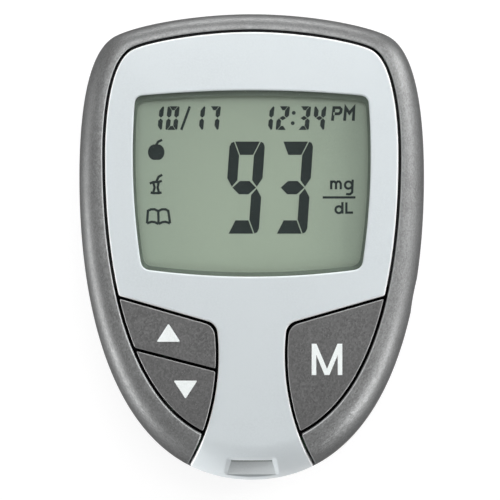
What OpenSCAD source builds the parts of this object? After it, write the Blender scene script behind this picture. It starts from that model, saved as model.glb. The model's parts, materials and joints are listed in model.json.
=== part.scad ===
// Blood glucose meter: a pocket meter for home use, with a display, three keys and a test strip port.
// It lies on its back. The origin is the middle of the rest face, +Z points out of the display and
// +Y to the top end. All sizes are in millimetres.

/* [Body] */
// Width across the widest line
body_w = 57; // [55:0.5:60]
// Length from the chin to the top end
body_l = 77; // [75:0.5:80]
// Thickness from the rest face to the crown of the face
body_t = 23; // [22.5:0.5:25]
// Height of the widest line above the middle of the length
widest_y = 11.5; // [10:0.5:13]
// Height of the parting plane between the back cover and the bezel
parting_z = 10; // [9:0.5:11]
// Wall of the back cover and the bezel
wall = 1.6; // [1.4:0.1:1.8]
// Rounding of the back along the sides and the top end
back_round = 4.5; // [3.5:0.5:5]
// Rounding of the back at the chin
chin_round = 12; // [9:1:14]

/* [Outline] */
// How far the shoulders lie in from the widest line
shoulder_in = 5.5; // [5:0.1:6]
// How far the shoulders lie below the top end
shoulder_drop = 3.9; // [3.5:0.1:4.5]
// Slope of the outline at the shoulders, in degrees
shoulder_slope = 33; // [30:1:36]
// Reach of the curve along the top end
top_reach = 10.2; // [9:0.2:12]
// Reach of the curve from the top end into a shoulder
shoulder_reach = 3.3; // [2.5:0.1:4]
// Reach of the curve from a shoulder down its side
shoulder_fall = 5.9; // [5:0.1:7]
// Reach of the side curve above the widest line
side_rise = 7.2; // [6:0.2:9]
// Reach of the side curve below the widest line
side_fall = 28.1; // [26:0.1:30]
// Reach of the chin's curve
chin_reach = 19.8; // [18:0.2:21]

/* [Rim] */
// Width of the rim at the sides
rim_side = 3.9; // [3.6:0.1:4.2]
// Width of the rim at the top end
rim_top = 2.65; // [2.4:0.05:3]
// Width of the rim at the chin
rim_chin = 5.9; // [5.5:0.1:6.3]
// How far the seam's shoulders lie in from the widest line
seam_shoulder_in = 8.45; // [8:0.05:9]
// How far the seam's shoulders lie below the top end
seam_shoulder_drop = 5.75; // [5.5:0.05:6]
// Slope of the seam at its shoulders, in degrees
seam_shoulder_slope = 30; // [28:1:32]
// Reach of the seam's curve along the top end
seam_top_reach = 7.8; // [7:0.2:9]
// Reach of the seam's curve from the top end into a shoulder
seam_shoulder_reach = 2.9; // [2.5:0.1:3.3]
// Reach of the seam's curve from a shoulder down its side
seam_shoulder_fall = 4.4; // [4:0.1:5]
// Height of the seam's widest line above the body's
seam_widest_up = 3.5; // [3:0.1:4]
// Reach of the seam's side curve above its widest line
seam_rise = 6; // [5:0.2:7]
// Reach of the seam's side curve below its widest line
seam_fall = 29.3; // [28:0.1:30]
// Reach of the seam's curve at the chin
seam_chin_reach = 16; // [15:0.1:17]
// Width of the dark seam between the bezel and the face
seam_w = 0.55; // [0.45:0.05:0.65]
// Height of the crown of the face above the seam
crown = 1.2; // [0.8:0.1:1.5]

/* [Face] */
// Thickness of the faceplate
plate_t = 1.5; // [1.3:0.1:1.7]
// Width of the leg between the keys, at its waist
leg_w = 10.9; // [10.3:0.1:11.5]
// Height of the leg's waist above the chin
leg_up = 20.6; // [19.1:0.1:22.1]
// Radius of the leg's hollow sides
leg_curve = 38; // [35:1:41]
// Height above the chin of the line above the keys, where it would cross the leg's middle
key_line_up = 24.2; // [23.5:0.1:24.7]
// Slope of the line above the keys, in degrees
key_line_slope = 16; // [14:1:18]
// Radius where the leg meets the line above the keys
key_fillet = 2.2; // [1.6:0.2:2.8]
// Width of the face beside the display opening, at its narrowest
view_side = 5.1; // [4.9:0.1:5.6]
// Distance from the opening's top to its widest line
view_belly = 10.7; // [9:0.1:12]
// Radius of the opening's bulging sides
view_side_curve = 118; // [110:2:130]
// Distance from the top end to the opening
view_drop = 12.7; // [12.3:0.1:13.5]
// Height of the opening above the chin
view_up = 33.6; // [33.2:0.1:34.2]
// Radius of the opening's bulging top
view_top_curve = 190; // [160:10:220]
// Radius of the opening's bulging bottom
view_bottom_curve = 130; // [110:10:160]
// Corner radius of the opening
view_corner = 1.3; // [1:0.1:1.8]
// How deep the window lies below the face
window_drop = 0.25; // [0.15:0.05:0.35]
// Width of the window's flange behind the faceplate
window_lap = 1; // [0.8:0.1:1]
// Thickness of the window's flange
window_flange = 0.6; // [0.5:0.1:0.7]

/* [Keys] */
// Travel of each key
key_travel = 0.8; // [0.5:0.1:1]
// Gap between a key and the faceplate
key_gap = 0.5; // [0.4:0.05:0.6]
// Corner radius of the keys
key_corner = 0.3; // [0.2:0.1:0.6]
// How far the keys stand proud of the face
key_proud = 0.15; // [0:0.05:0.3]
// Wall of a key cap
key_wall = 1.3; // [1.1:0.1:1.5]
// Thickness of the flange that keeps a key in
key_flange = 0.7; // [0.6:0.1:0.9]
// Width of the flange that keeps a key in
key_lap = 0.8; // [0.6:0.1:0.9]
// Height above the chin of the gap between the up and down keys, where it would cross the leg's middle
divide_up = 16.7; // [16:0.1:17.5]
// Slope of the gap between the up and down keys, in degrees
divide_slope = 14.5; // [12:0.5:17]
// Diameter of the plunger under each key
plunger_d = 4.6; // [4:0.2:5]
// Diameter of the rubber dome under each key
dome_d = 7.4; // [7:0.2:7.8]
// Skin of the rubber domes
dome_skin = 0.6; // [0.5:0.05:0.7]
// Diameter of the carbon pill in each dome
pill_d = 3; // [2.6:0.2:3.4]
// Thickness of the carbon pills
pill_t = 0.5; // [0.4:0.05:0.6]
// Thickness of the keypad mat
mat_t = 0.5; // [0.4:0.05:0.6]

/* [Display] */
// Reach of the display glass beyond the opening at each side
glass_side = 0.7; // [0.5:0.1:0.9]
// Reach of the display glass beyond the opening's top
glass_over = 0.8; // [0.6:0.1:1]
// Reach of the display glass beyond the opening's bottom
glass_under = 0.9; // [0.6:0.1:1.1]
// Thickness of each glass
glass_t = 0.7; // [0.5:0.1:0.8]
// Thickness of the polariser films
film_t = 0.2; // [0.15:0.05:0.25]
// Width of the contact ledge of the front glass
glass_ledge = 2.2; // [2:0.1:2.5]
// Thickness of the foam gasket between the window and the display
gasket_t = 0.4; // [0.3:0.1:0.5]
// Wall of the frame that holds the glass
holder_wall = 0.8; // [0.7:0.1:0.9]
// Width of the shelf that carries the glass
holder_shelf = 1.2; // [1:0.1:1.4]

/* [Chassis and board] */
// Thickness of the chassis plate
chassis_t = 1.2; // [1:0.1:1.4]
// Thickness of the circuit board
board_t = 1; // [0.8:0.1:1.2]
// Room between the circuit board and the chassis plate
board_drop = 2; // [1.8:0.1:2.3]
// Gap between the board and the case
board_gap = 1.1; // [0.9:0.1:1.4]
// Diameter of the case screws
screw_d = 2; // [1.8:0.1:2.2]
// Length of the case screws below the head
screw_l = 8.2; // [7.6:0.2:8.6]
// Diameter of the screw heads
screw_head_d = 3.8; // [3.4:0.2:4]
// Height of the screw heads
screw_head_h = 1.3; // [1.1:0.1:1.5]
// Distance from the widest line to the two upper screws
screw_in = 13.5; // [12.5:0.5:14.5]
// Distance from the top end to the two upper screws
screw_drop = 8.1; // [7.7:0.2:8.5]
// Height of the screw in the leg above the chin
screw_up = 23; // [22:0.5:23.5]

/* [Battery bay] */
// Diameter of a coin cell
cell_d = 20; // [19.6:0.1:20.2]
// Thickness of a coin cell
cell_t = 3.2; // [2.9:0.1:3.4]
// Distance between the middles of the cells
cell_pitch = 20.7; // [20.5:0.1:20.9]
// Distance from the top end to the middle of the cells
cell_drop = 24.5; // [24:0.1:25]
// Reach of the battery door beyond the cells at each side
door_side = 1.15; // [0.95:0.05:1.35]
// Reach of the battery door beyond the cells at its inner end
door_under = 3.2; // [2.8:0.1:3.6]
// Thickness of the battery door
door_t = 1.45; // [1.3:0.05:1.6]
// Width of the door's rails
rail_w = 1.2; // [1:0.1:1.3]
// Thickness of the door's rails
rail_t = 0.65; // [0.55:0.05:0.75]

/* [Ports] */
// Bore of the data jack
jack_bore = 2.5; // [2.4:0.1:2.6]
// Outer diameter of the data jack's nose
jack_nose_d = 4.6; // [4.4:0.1:5]
// Height of the data jack above the chin
jack_up = 30.5; // [30:0.5:31]
// Width of the test strip slot
strip_w = 6.8; // [6.2:0.1:7]
// Height of the test strip slot
strip_h = 0.9; // [0.8:0.1:1]
// Depth of the strip port's recess, from the chin
port_depth = 3.3; // [3:0.1:3.6]
// Width of the recess at the chin
port_w = 8.6; // [8:0.2:9.2]

/* [Hidden] */

fit = 0.1;            // gap between pieces that are held fast
run = 0.2;            // gap beside pieces that slide
over = 1;             // how far a cut runs past what it cuts
ring_n = 72;          // points around each outline
curve_n = 60;         // steps along each stretch of an outline
hub_y = 5;            // middle that the outlines turn about
$fn = 40;

// Places that follow the body's ends and sides
top_y = body_l / 2;
chin_y = -body_l / 2;
leg_y = chin_y + leg_up;
key_line_y = chin_y + key_line_up;
divide_y = chin_y + divide_up;
view_w = body_w - 2 * (rim_side + view_side);
view_top = top_y - view_drop;
view_bottom = chin_y + view_up;
view_belly_y = view_top - view_belly;
glass_w = view_w + 2 * glass_side;
glass_top = view_top + glass_over;
glass_bottom = view_bottom - glass_under;
screw_x = body_w / 2 - screw_in;
screw_top_y = top_y - screw_drop;
screw_leg_y = chin_y + screw_up;
cell_y = top_y - cell_drop;
door_w = cell_pitch + cell_d + 2 * door_side;
door_y = cell_y - cell_d / 2 - door_under;
jack_y = chin_y + jack_up;

// Heights, from the rest face upwards
door_z = 0.15;                                    // the door lies a little off the rest face
cell_z = door_z + door_t + 0.3;
contact_t = 0.2;
contact_room = 0.5;                               // between the cells and the tray's roof
tray_z = cell_z + cell_t + contact_room;
tray_t = 1;

// Heights, from the face downwards
seam_z = body_t - crown;
rim_h = seam_z - parting_z;
flange_room = 0.3;                                // above a key's flange, under the bezel
flange_top = seam_z - wall - flange_room;
flange_z = flange_top - key_flange;
under_key = 1.2;                                  // below a pressed key's flange
chassis_top = flange_z - key_travel - under_key;
chassis_z = chassis_top - chassis_t;
board_top = chassis_z - board_drop;
board_z = board_top - board_t;
contact_gap = 0.05;                               // left under a carbon pill that is pressed
dome_h = key_travel + pill_t + dome_skin + contact_gap;

// Curve, outline and loft tools
function curve(a, b, c, d, first = 1) = [for (i = [first:curve_n]) let (t = i / curve_n, s = 1 - t)
    s * s * s * a + 3 * s * s * t * b + 3 * s * t * t * c + t * t * t * d];
function polar(points) = [for (p = points) let (q = p - [0, hub_y]) [atan2(q.x, q.y), norm(q)]];
function radius(table, a) = lookup(a > 180 ? 360 - a : a, table);
function around(table, less = 0, less_chin = 0) = [for (i = [0:ring_n - 1])
    let (a = i * 360 / ring_n, r = radius(table, a) - less - (less_chin - less) * chin_share(a))
    [r * sin(a), hub_y + r * cos(a)]];
// Share of the chin in a setting that differs there, from 0 at the top end to 1 at the chin
function chin_share(a) = pow((1 - cos(a)) / 2, 4);
function mix(a, b, u) = a * (1 - u) + b * u;
function inset(loop, d) = [for (i = [0:len(loop) - 1]) let (
    t = loop[(i + 1) % len(loop)] - loop[(i + len(loop) - 1) % len(loop)])
    loop[i] - d * [-t.y, t.x] / norm(t)];
function lift(loop, z) = [for (p = loop) [p.x, p.y, z]];
function shrink(loop, k) = [for (p = loop) [p.x * k, hub_y + (p.y - hub_y) * k]];

// The outlines, as points around the hub, clockwise from the top end
shoulder = [body_w / 2 - shoulder_in, top_y - shoulder_drop];
shoulder_way = [cos(shoulder_slope), -sin(shoulder_slope)];
outer_table = polar(concat(
    curve([0, top_y], [top_reach, top_y], shoulder - shoulder_reach * shoulder_way, shoulder, 0),
    curve(shoulder, shoulder + shoulder_fall * shoulder_way, [body_w / 2, widest_y + side_rise],
        [body_w / 2, widest_y]),
    curve([body_w / 2, widest_y], [body_w / 2, widest_y - side_fall], [chin_reach, chin_y],
        [0, chin_y])));
seam_side = body_w / 2 - rim_side;
seam_top = top_y - rim_top;
seam_chin = chin_y + rim_chin;
seam_widest_y = widest_y + seam_widest_up;
seam_shoulder = [body_w / 2 - seam_shoulder_in, top_y - seam_shoulder_drop];
seam_way = [cos(seam_shoulder_slope), -sin(seam_shoulder_slope)];
seam_table = polar(concat(
    curve([0, seam_top], [seam_top_reach, seam_top], seam_shoulder - seam_shoulder_reach * seam_way,
        seam_shoulder, 0),
    curve(seam_shoulder, seam_shoulder + seam_shoulder_fall * seam_way,
        [seam_side, seam_widest_y + seam_rise], [seam_side, seam_widest_y]),
    curve([seam_side, seam_widest_y], [seam_side, seam_widest_y - seam_fall],
        [seam_chin_reach, seam_chin], [0, seam_chin])));
outer_loop = around(outer_table);
seam_loop = around(seam_table);
rest_loop = around(outer_table, back_round, chin_round);

// A solid through rings of points: the first and last rings are closed by fans to a middle point
module loft(rings, low, high) {
    n = len(rings[0]);
    m = len(rings);
    walls = [for (j = [0:m - 2], i = [0:n - 1]) let (k = (i + 1) % n, a = j * n + i, b = j * n + k)
        each [[a, b, b + n], [a, b + n, a + n]]];
    ends = [for (i = [0:n - 1]) let (k = (i + 1) % n, c = (m - 1) * n)
        each [[k, i, m * n], [c + i, c + k, m * n + 1]]];
    polyhedron(concat([for (r = rings) each r], [low, high]), concat(walls, ends));
}
// A solid ring through rings of points: the last ring joins the first
module hoop(rings) {
    n = len(rings[0]);
    m = len(rings);
    faces = [for (j = [0:m - 1], i = [0:n - 1]) let (k = (i + 1) % n, q = ((j + 1) % m) * n,
        p = j * n) each [[p + i, p + k, q + k], [p + i, q + k, q + i]]];
    polyhedron([for (r = rings) each r], faces);
}

// Rows of the case: the rim is a quarter of an ellipse from the parting plane to the seam
rim_steps = [0, 15, 30, 45, 60, 75, 90];
dome_steps = [0.75, 0.5, 0.25];
function rim_loop(a) = mix(outer_loop, seam_loop, 1 - cos(a));
function rim_z(a) = parting_z + rim_h * sin(a);
function facing(a, reach, height) = let (v = [cos(a) / reach, sin(a) / height]) v / norm(v);
function rim_rows(up) = [for (a = rim_steps) lift(rim_loop(a), rim_z(a) + up)];
function rim_under(t) = [for (i = [len(rim_steps) - 1:-1:0]) let (a = rim_steps[i])
    lift(mix(inset(outer_loop, t), seam_loop, 1 - cos(a)), parting_z + (rim_h - t) * sin(a))];
function back_loop(a) = mix(outer_loop, rest_loop, 1 - cos(a));
function back_rows() = [for (i = [len(rim_steps) - 1:-1:0]) let (a = rim_steps[i])
    lift(back_loop(a), parting_z * (1 - sin(a)))];
function back_inside() = [for (a = rim_steps) let (v = facing(a, back_round, parting_z))
    lift(inset(back_loop(a), wall * v.x), parting_z * (1 - sin(a)) + wall * v.y)];

// Height of the face over any point inside the seam
function face_z(x, y) = let (k = norm([x, y - hub_y]) / radius(seam_table, atan2(abs(x), y - hub_y)))
    seam_z + crown * (1 - k * k);
function dome_rows(up, steps = dome_steps) = [for (k = steps)
    lift(shrink(seam_loop, k), seam_z + crown * (1 - k * k) + up)];
function reversed(rows) = [for (i = [len(rows) - 1:-1:0]) rows[i]];
function crown_point(up) = [0, hub_y, body_t + up];

// The whole front form, raised by a height; the same as a hood; and a slab of its dome
module front_form(up = 0) loft(concat(rim_rows(up), dome_rows(up)), [0, hub_y, parting_z + up],
    crown_point(up));
module front_hood() loft(concat(reversed(dome_rows(-plate_t)), rim_under(wall), rim_rows(0),
    dome_rows(0)), crown_point(-plate_t), crown_point(0));
module dome_slab(top, bottom) loft(concat(reversed(dome_rows(-bottom, concat([1], dome_steps))),
    dome_rows(-top, concat([1], dome_steps))), crown_point(-bottom), crown_point(-top));

// Flat outlines of the face
module seam_2d(in = 0) polygon(inset(seam_loop, in));
module outer_2d(in = 0) polygon(inset(outer_loop, in));
module below_line(y, slope) translate([0, y]) rotate(slope) translate([-body_l, -2 * body_l])
    square(2 * body_l);
// Ground of the keys on one side: below the shoulder line and outside the leg (side -1 is left)
module key_ground(side, in = 0) mirror([side > 0 ? 1 : 0, 0]) offset(r = key_fillet)
    offset(delta = -key_fillet - in) intersection() {
        translate([-leg_w / 2 - leg_curve, leg_y]) circle(leg_curve, $fn = 180);
        below_line(key_line_y, -key_line_slope);
    }
module leg_2d(out = 0) difference() {
    outer_2d(-over);
    translate([-body_w, seam_chin + seam_w + leg_w / 2]) square([2 * body_w, body_l]);
    for (side = [-1, 1]) key_ground(side, out);
}
module face_2d() difference() {
    union() {
        seam_2d(seam_w);
        leg_2d();
    }
    for (side = [-1, 1]) key_ground(side);
}
// Opening of the display, grown by a margin
function bulge(x, reach) = x * x / (2 * reach);
module view_2d(out = 0) {
    half = view_w / 2;
    n = 8;
    top = [for (i = [-n:n]) let (x = i / n * half) [x, view_top - bulge(x, view_top_curve)]];
    low = [for (i = [n:-1:-n]) let (x = i / n * half) [x, view_bottom + bulge(x, view_bottom_curve)]];
    offset(r = view_corner + out) offset(delta = -view_corner) intersection() {
        polygon(concat(top, low));
        intersection_for(side = [-1, 1]) translate([side * (half - view_side_curve), view_belly_y])
            circle(view_side_curve, $fn = 360);
    }
}

// Places of the plungers: how far beyond the leg's waist, and how far from the divide, they stand
up_reach = [7.85, 7.4];
down_reach = [5.35, -1.8];
memory_reach = 6.75;
up_spot = [-leg_w / 2 - up_reach.x, divide_y + up_reach.y];
down_spot = [-leg_w / 2 - down_reach.x, divide_y + down_reach.y];
memory_spot = [leg_w / 2 + memory_reach, (up_spot.y + down_spot.y) / 2];
// Ground of each key cap
module key_side(part) {
    if (part == "up") difference() {
        square(4 * body_l, center = true);
        below_line(divide_y + key_gap / 2, -divide_slope);
    }
    else if (part == "down") below_line(divide_y - key_gap / 2, -divide_slope);
    else square(4 * body_l, center = true);
}
module key_2d(part, out = 0) intersection() {
    key_ground(part == "memory" ? 1 : -1, key_gap - out);
    seam_2d(seam_w - out);
    key_side(part);
}
module rounded_2d(r) offset(r = r) offset(delta = -r) children();
module key(part, spot) difference() {
    union() {
        intersection() {
            front_form(key_proud);
            translate([0, 0, flange_z]) linear_extrude(body_t) rounded_2d(key_corner) key_2d(part);
        }
        translate([0, 0, flange_z]) linear_extrude(key_flange) key_2d(part, key_lap);
        translate([spot.x, spot.y, board_top + dome_h])
            cylinder(d = plunger_d, h = seam_z - key_wall - board_top - dome_h);
    }
    translate([0, 0, flange_z - over]) linear_extrude(seam_z - key_wall - flange_z + over)
        difference() {
            offset(delta = -key_wall) key_2d(part);
            translate(spot) circle(d = plunger_d);
        }
}
module up_key() color("#7c7a79") key("up", up_spot);
module down_key() color("#7c7a79") key("down", down_spot);
module memory_key() color("#7c7a79") key("memory", memory_spot);

// Rubber domes and their carbon pills
module dome(spot) color("#3a3b3d") translate([spot.x, spot.y, board_top]) rotate_extrude() polygon([
    [dome_d / 2, 0], [dome_d / 2, mat_t], [plunger_d / 2 + 0.3, dome_h], [0, dome_h],
    [0, dome_h - dome_skin], [plunger_d / 2 - 0.3, dome_h - dome_skin], [dome_d / 2 - dome_skin, 0]]);
module pill(spot) color("#1d1d1f")
    translate([spot.x, spot.y, board_top + dome_h - dome_skin - pill_t]) cylinder(d = pill_d, h = pill_t);
module up_dome() dome(up_spot);
module down_dome() dome(down_spot);
module memory_dome() dome(memory_spot);
module up_pill() pill(up_spot);
module down_pill() pill(down_spot);
module memory_pill() pill(memory_spot);
module keypad_mat() color("#3a3b3d") translate([0, 0, board_top]) linear_extrude(mat_t) difference() {
    seam_2d(chassis_wall + 1);
    translate([-body_w, glass_bottom - holder_wall - run]) square([2 * body_w, body_l]);
    for (spot = [up_spot, down_spot, memory_spot]) translate(spot) circle(d = dome_d + 2 * fit);
    translate([0, screw_leg_y]) circle(d = boss_d + 2 * run);
    port_2d(run, port_tail);
}

// Case
jack_h = 5;
jack_w = 6.4;
jack_l = 10;
jack_z = board_z - jack_h / 2;
jack_angle = atan2(body_w / 2, jack_y - hub_y);
jack_sink = 0.9;                                  // depth of the jack's nose under the skin
jack_x = radius(outer_table, jack_angle) * sin(jack_angle) - jack_sink;
module jack_cut() translate([jack_x - 4 * wall, jack_y, jack_z]) rotate([0, 90, 0])
    cylinder(d = jack_nose_d + 2 * run, h = 5 * wall);
module bezel() color("#85878a") difference() {
    hoop(concat(rim_rows(0), rim_under(wall)));
    translate([0, 0, parting_z - over]) linear_extrude(body_t) leg_2d(key_gap);
    jack_cut();
}
port_floor = board_top + 0.75;
port_y = chin_y + port_depth;
port_wall = 1.3;
port_cheek = 0.9;                                 // beside the recess
module port_block_2d() translate([-port_w / 2 - port_cheek, chin_y])
    square([port_w + 2 * port_cheek, port_depth + port_wall]);
module faceplate() color("#d5dcdf") difference() {
    union() {
        intersection() {
            front_hood();
            translate([0, 0, parting_z - over]) linear_extrude(body_t) face_2d();
        }
        intersection() {
            front_form();
            translate([0, 0, board_top + fit]) linear_extrude(body_t) port_block_2d();
        }
        for (p = post_spots) translate([p.x, p.y, chassis_z - 0.3]) cylinder(d = post_d, h = seam_z - chassis_z);
    }
    translate([0, 0, seam_z - 2 * plate_t]) linear_extrude(body_t) view_2d();
    translate([0, 0, port_floor]) linear_extrude(body_t) polygon([
        [-strip_w / 2, port_y], [strip_w / 2, port_y],
        [port_w / 2, chin_y - over], [-port_w / 2, chin_y - over]]);
    translate([-strip_w / 2, port_y - over, port_floor]) cube([strip_w, 3 * port_wall, strip_h]);
}
boss_d = 5;
well_d = screw_head_d + 0.6;
well_wall = 0.8;
screw_bite = 1.6;                                 // reach of the screws beyond the board
well_z = board_top + screw_bite - screw_l;        // seat of the screw heads
screw_spots = [[-screw_x, screw_top_y], [screw_x, screw_top_y], [0, screw_leg_y]];
module back_cover() color("#55565a") difference() {
    union() {
        difference() {
            loft(concat(back_rows(), back_inside()), [0, hub_y, 0], [0, hub_y, wall]);
            door_space();
        }
        difference() {
            intersection() {
                loft(back_rows(), [0, hub_y, 0], [0, hub_y, parting_z]);
                translate([-body_w, door_y - wall, 0]) cube([2 * body_w, body_l, slab_z + wall]);
            }
            door_space();
        }
        for (p = screw_spots) translate([p.x, p.y, wall / 2 + (p.y > 0 ? slab_z : 0)])
            cylinder(d = well_d + 2 * well_wall, h = board_z - wall / 2 - (p.y > 0 ? slab_z : 0));
    }
    for (side = [-1, 1]) translate([side * cell_pitch / 2, cell_y, 0]) cylinder(d = cell_d + 0.8, h = 2 * tray_z);
    for (p = screw_spots) translate([p.x, p.y, -over]) {
        cylinder(d = well_d, h = well_z + over);
        cylinder(d = screw_d + 0.3, h = body_t);
    }
    jack_cut();
}
// Room of the battery door and of its rails, open at the top end
slab_z = door_z + door_t + run;
rail_z = door_z + door_t - rail_t;
module door_space() {
    translate([-door_w / 2 - run, door_y - run, -over]) cube([door_w + 2 * run, body_l, slab_z + over]);
    translate([-door_w / 2 - rail_w - run, door_y + rail_w - run, rail_z - fit])
        cube([door_w + 2 * rail_w + 2 * run, body_l, slab_z - rail_z + fit]);
}
grip_n = 5;                                       // grooves under the thumb
grip_pitch = 2.2;
grip_w = 12;
module battery_door() color("#55565a") difference() {
    intersection() {
        loft(back_rows(), [0, hub_y, 0], [0, hub_y, parting_z]);
        union() {
            translate([-door_w / 2, door_y, door_z]) cube([door_w, body_l, door_t]);
            translate([-door_w / 2 - rail_w, door_y + rail_w, rail_z])
                cube([door_w + 2 * rail_w, body_l, rail_t]);
        }
    }
    for (i = [0:grip_n - 1]) translate([-grip_w / 2, door_y + 5 + i * grip_pitch, -over])
        cube([grip_w, grip_pitch / 2, over + door_z + door_t / 3]);
}
module case_screws() color("#b9bcc0") for (p = screw_spots) translate([p.x, p.y, well_z]) {
    difference() {
        translate([0, 0, -screw_head_h]) cylinder(d = screw_head_d, h = screw_head_h);
        for (turn = [0, 90]) rotate(turn) translate([-screw_head_d / 3, -0.25, -screw_head_h - over])
            cube([screw_head_d / 1.5, 0.5, over + screw_head_h / 2]);
    }
    cylinder(d = screw_d, h = screw_l - 0.6);
    translate([0, 0, screw_l - 0.6]) cylinder(d1 = screw_d, d2 = screw_d / 3, h = 0.6);
}

// Front chassis: carries the display and the keys, and its bead fills the seam around the face
chassis_wall = 1.6;
chassis_lip = 0.4;                                // reach of the plate under the bezel
bead_drop = 0.45;                                 // the bead lies this deep in the seam
post_d = 1.6;
post_x = screw_x - 6;
post_spots = [[-post_x, screw_top_y + 0.6], [post_x, screw_top_y + 0.6], [0, screw_leg_y + 4.5],
    [0, screw_leg_y - 5.8]];
module ring_2d(out, in) difference() {
    seam_2d(out);
    seam_2d(in);
}
module front_chassis() color("#1b1c1e") difference() {
    union() {
        translate([0, 0, chassis_z]) {
            linear_extrude(chassis_t) seam_2d(-chassis_lip);
            difference() {
                linear_extrude(seam_z - plate_t - fit - chassis_z) ring_2d(fit, chassis_wall);
                translate([0, 0, chassis_t]) linear_extrude(body_t) both_grounds(-key_lap - 0.5);
            }
            difference() {
                linear_extrude(seam_z - bead_drop - chassis_z) ring_2d(fit, seam_w - fit);
                translate([0, 0, chassis_t]) linear_extrude(body_t) both_grounds(-key_lap - 0.5);
                translate([0, 0, seam_z - plate_t - fit - chassis_z]) linear_extrude(body_t) leg_2d(run);
            }
        }
        for (p = screw_spots) translate([p.x, p.y, board_top])
            cylinder(d = boss_d, h = chassis_z - board_top + chassis_t / 2);
    }
    translate([0, 0, chassis_z - over]) linear_extrude(body_t) holder_2d(run);
    for (spot = [up_spot, down_spot, memory_spot]) translate([spot.x, spot.y, chassis_z - over])
        cylinder(d = dome_d + 0.8, h = chassis_t + 2 * over);
    for (p = post_spots) translate([p.x, p.y, chassis_z - over])
        cylinder(d = post_d + 2 * fit, h = chassis_t + 2 * over);
    for (p = screw_spots) translate([p.x, p.y, board_top - over])
        cylinder(d = screw_d + 0.02, h = chassis_z - board_top + over);
    translate([0, 0, board_top]) linear_extrude(port_h + run) port_2d(2 * run, port_tail);
}
module both_grounds(in) for (side = [-1, 1]) key_ground(side, in);

// Window, gasket and display
flange_drop = plate_t + fit / 2;
module display_window() color([0.85, 0.9, 0.9, 0.4]) union() {
    intersection() {
        dome_slab(window_drop, plate_t + 0.15);
        translate([0, 0, parting_z]) linear_extrude(body_t) view_2d(-fit);
    }
    intersection() {
        dome_slab(flange_drop, flange_drop + window_flange);
        translate([0, 0, parting_z]) linear_extrude(body_t) difference() {
            view_2d(window_lap);
            view_2d(-holder_shelf);
        }
    }
}
lcd_top = face_z(view_w / 2 + window_lap, view_top + window_lap) - flange_drop - window_flange - gasket_t;
lcd_bottom = lcd_top - 2 * film_t - 2 * glass_t;
module window_gasket() color("#222326") translate([0, 0, lcd_top]) linear_extrude(gasket_t) difference() {
    view_2d(window_lap);
    view_2d(run);
}
// A sheet of the display: how far it lies in from the glass at its sides and at its ends
module sheet(side, ends, z, t) translate([side - glass_w / 2, glass_bottom + ends, z])
    cube([glass_w - 2 * side, glass_top - glass_bottom - 2 * ends, t]);
module front_polariser() color("#9aa699") sheet(0.3, 0.3, lcd_top - film_t, film_t);
module lcd_front_glass() color("#a3ada1") sheet(0, 0, lcd_top - film_t - glass_t, glass_t);
module lcd_back_glass() color("#98a296") sheet(0, glass_ledge, lcd_bottom + film_t, glass_t);
module rear_reflector() color("#b9c0b4") sheet(0.3, glass_ledge + 0.3, lcd_bottom, film_t);
module holder_2d(out = 0) {
    edge = fit + holder_wall + out;
    intersection() {
        translate([-glass_w / 2 - edge, glass_bottom - edge])
            square([glass_w + 2 * edge, glass_top - glass_bottom + 2 * edge]);
        seam_2d(chassis_wall + run - out);
    }
}
module lcd_holder() color("#e6e6e0") difference() {
    translate([0, 0, board_top]) linear_extrude(lcd_top - board_top) holder_2d();
    sheet(-fit, -fit, lcd_bottom, body_t);
    sheet(holder_shelf, -fit, parting_z, body_t);
}
zebra_t = 1.8;
module zebra(y) color("#c9a27e") translate([-glass_w / 2 + holder_shelf + 1, y - zebra_t / 2, board_top])
    cube([glass_w - 2 * holder_shelf - 2, zebra_t, lcd_top - film_t - glass_t - board_top]);
module upper_zebra_strip() zebra(glass_top - glass_ledge / 2);
module lower_zebra_strip() zebra(glass_bottom + glass_ledge / 2);

// Test strip port and data jack
port_body = [12, 9.2];
port_h = 2.7;
port_tail = 1.5;
pads = 5;
pad_pitch = 1.2;
pad_w = 0.5;
pad_t = 0.2;
port_front = port_y + port_wall + fit;
port_end = port_front + port_body.y;
module port_2d(out = 0, tail = 0) translate([-port_body.x / 2 - out, port_front - out])
    square([port_body.x + 2 * out, port_body.y + 2 * out + tail]);
module each_pad() for (i = [0:pads - 1]) translate([(i - (pads - 1) / 2) * pad_pitch, 0, 0]) children();
module strip_port() color("#d98a3d") difference() {
    translate([0, 0, board_top]) linear_extrude(port_h) port_2d();
    translate([-strip_w / 2, port_front - over, port_floor]) cube([strip_w, port_body.y - 1 + over, strip_h]);
    each_pad() translate([-pad_w / 2 - fit, port_front + 2, port_floor + strip_h / 2])
        cube([pad_w + 2 * fit, port_body.y, strip_h / 2 + 3 * pad_t]);
}
module strip_contacts() color("#d4af52") each_pad() translate([-pad_w / 2, 0, 0]) {
    arm_z = port_floor + strip_h + pad_t;
    translate([0, port_end + fit, board_top]) cube([pad_w, port_tail - 2 * fit, pad_t]);
    translate([0, port_end + fit, board_top]) cube([pad_w, pad_t, arm_z + pad_t - board_top]);
    translate([0, port_front + 3, arm_z]) cube([pad_w, port_body.y - 3 + 2 * fit, pad_t]);
    translate([0, port_front + 3, port_floor + 0.55 * strip_h])
        cube([pad_w, 3 * pad_t, arm_z - port_floor - 0.55 * strip_h + pad_t]);
}
jack_back = 2;                                    // from the nose's end to the jack's body
module data_jack() color("#2a2b2d") difference() {
    union() {
        translate([jack_x - jack_back - jack_l, jack_y - jack_w / 2, board_z - jack_h])
            cube([jack_l, jack_w, jack_h]);
        translate([jack_x - jack_back - 1, jack_y, jack_z]) rotate([0, 90, 0])
            cylinder(d = jack_nose_d, h = jack_back + 1 - fit);
    }
    translate([jack_x + over, jack_y, jack_z]) rotate([0, -90, 0]) cylinder(d = jack_bore, h = jack_l + over);
}
jack_pin = [1.2, 1];
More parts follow.
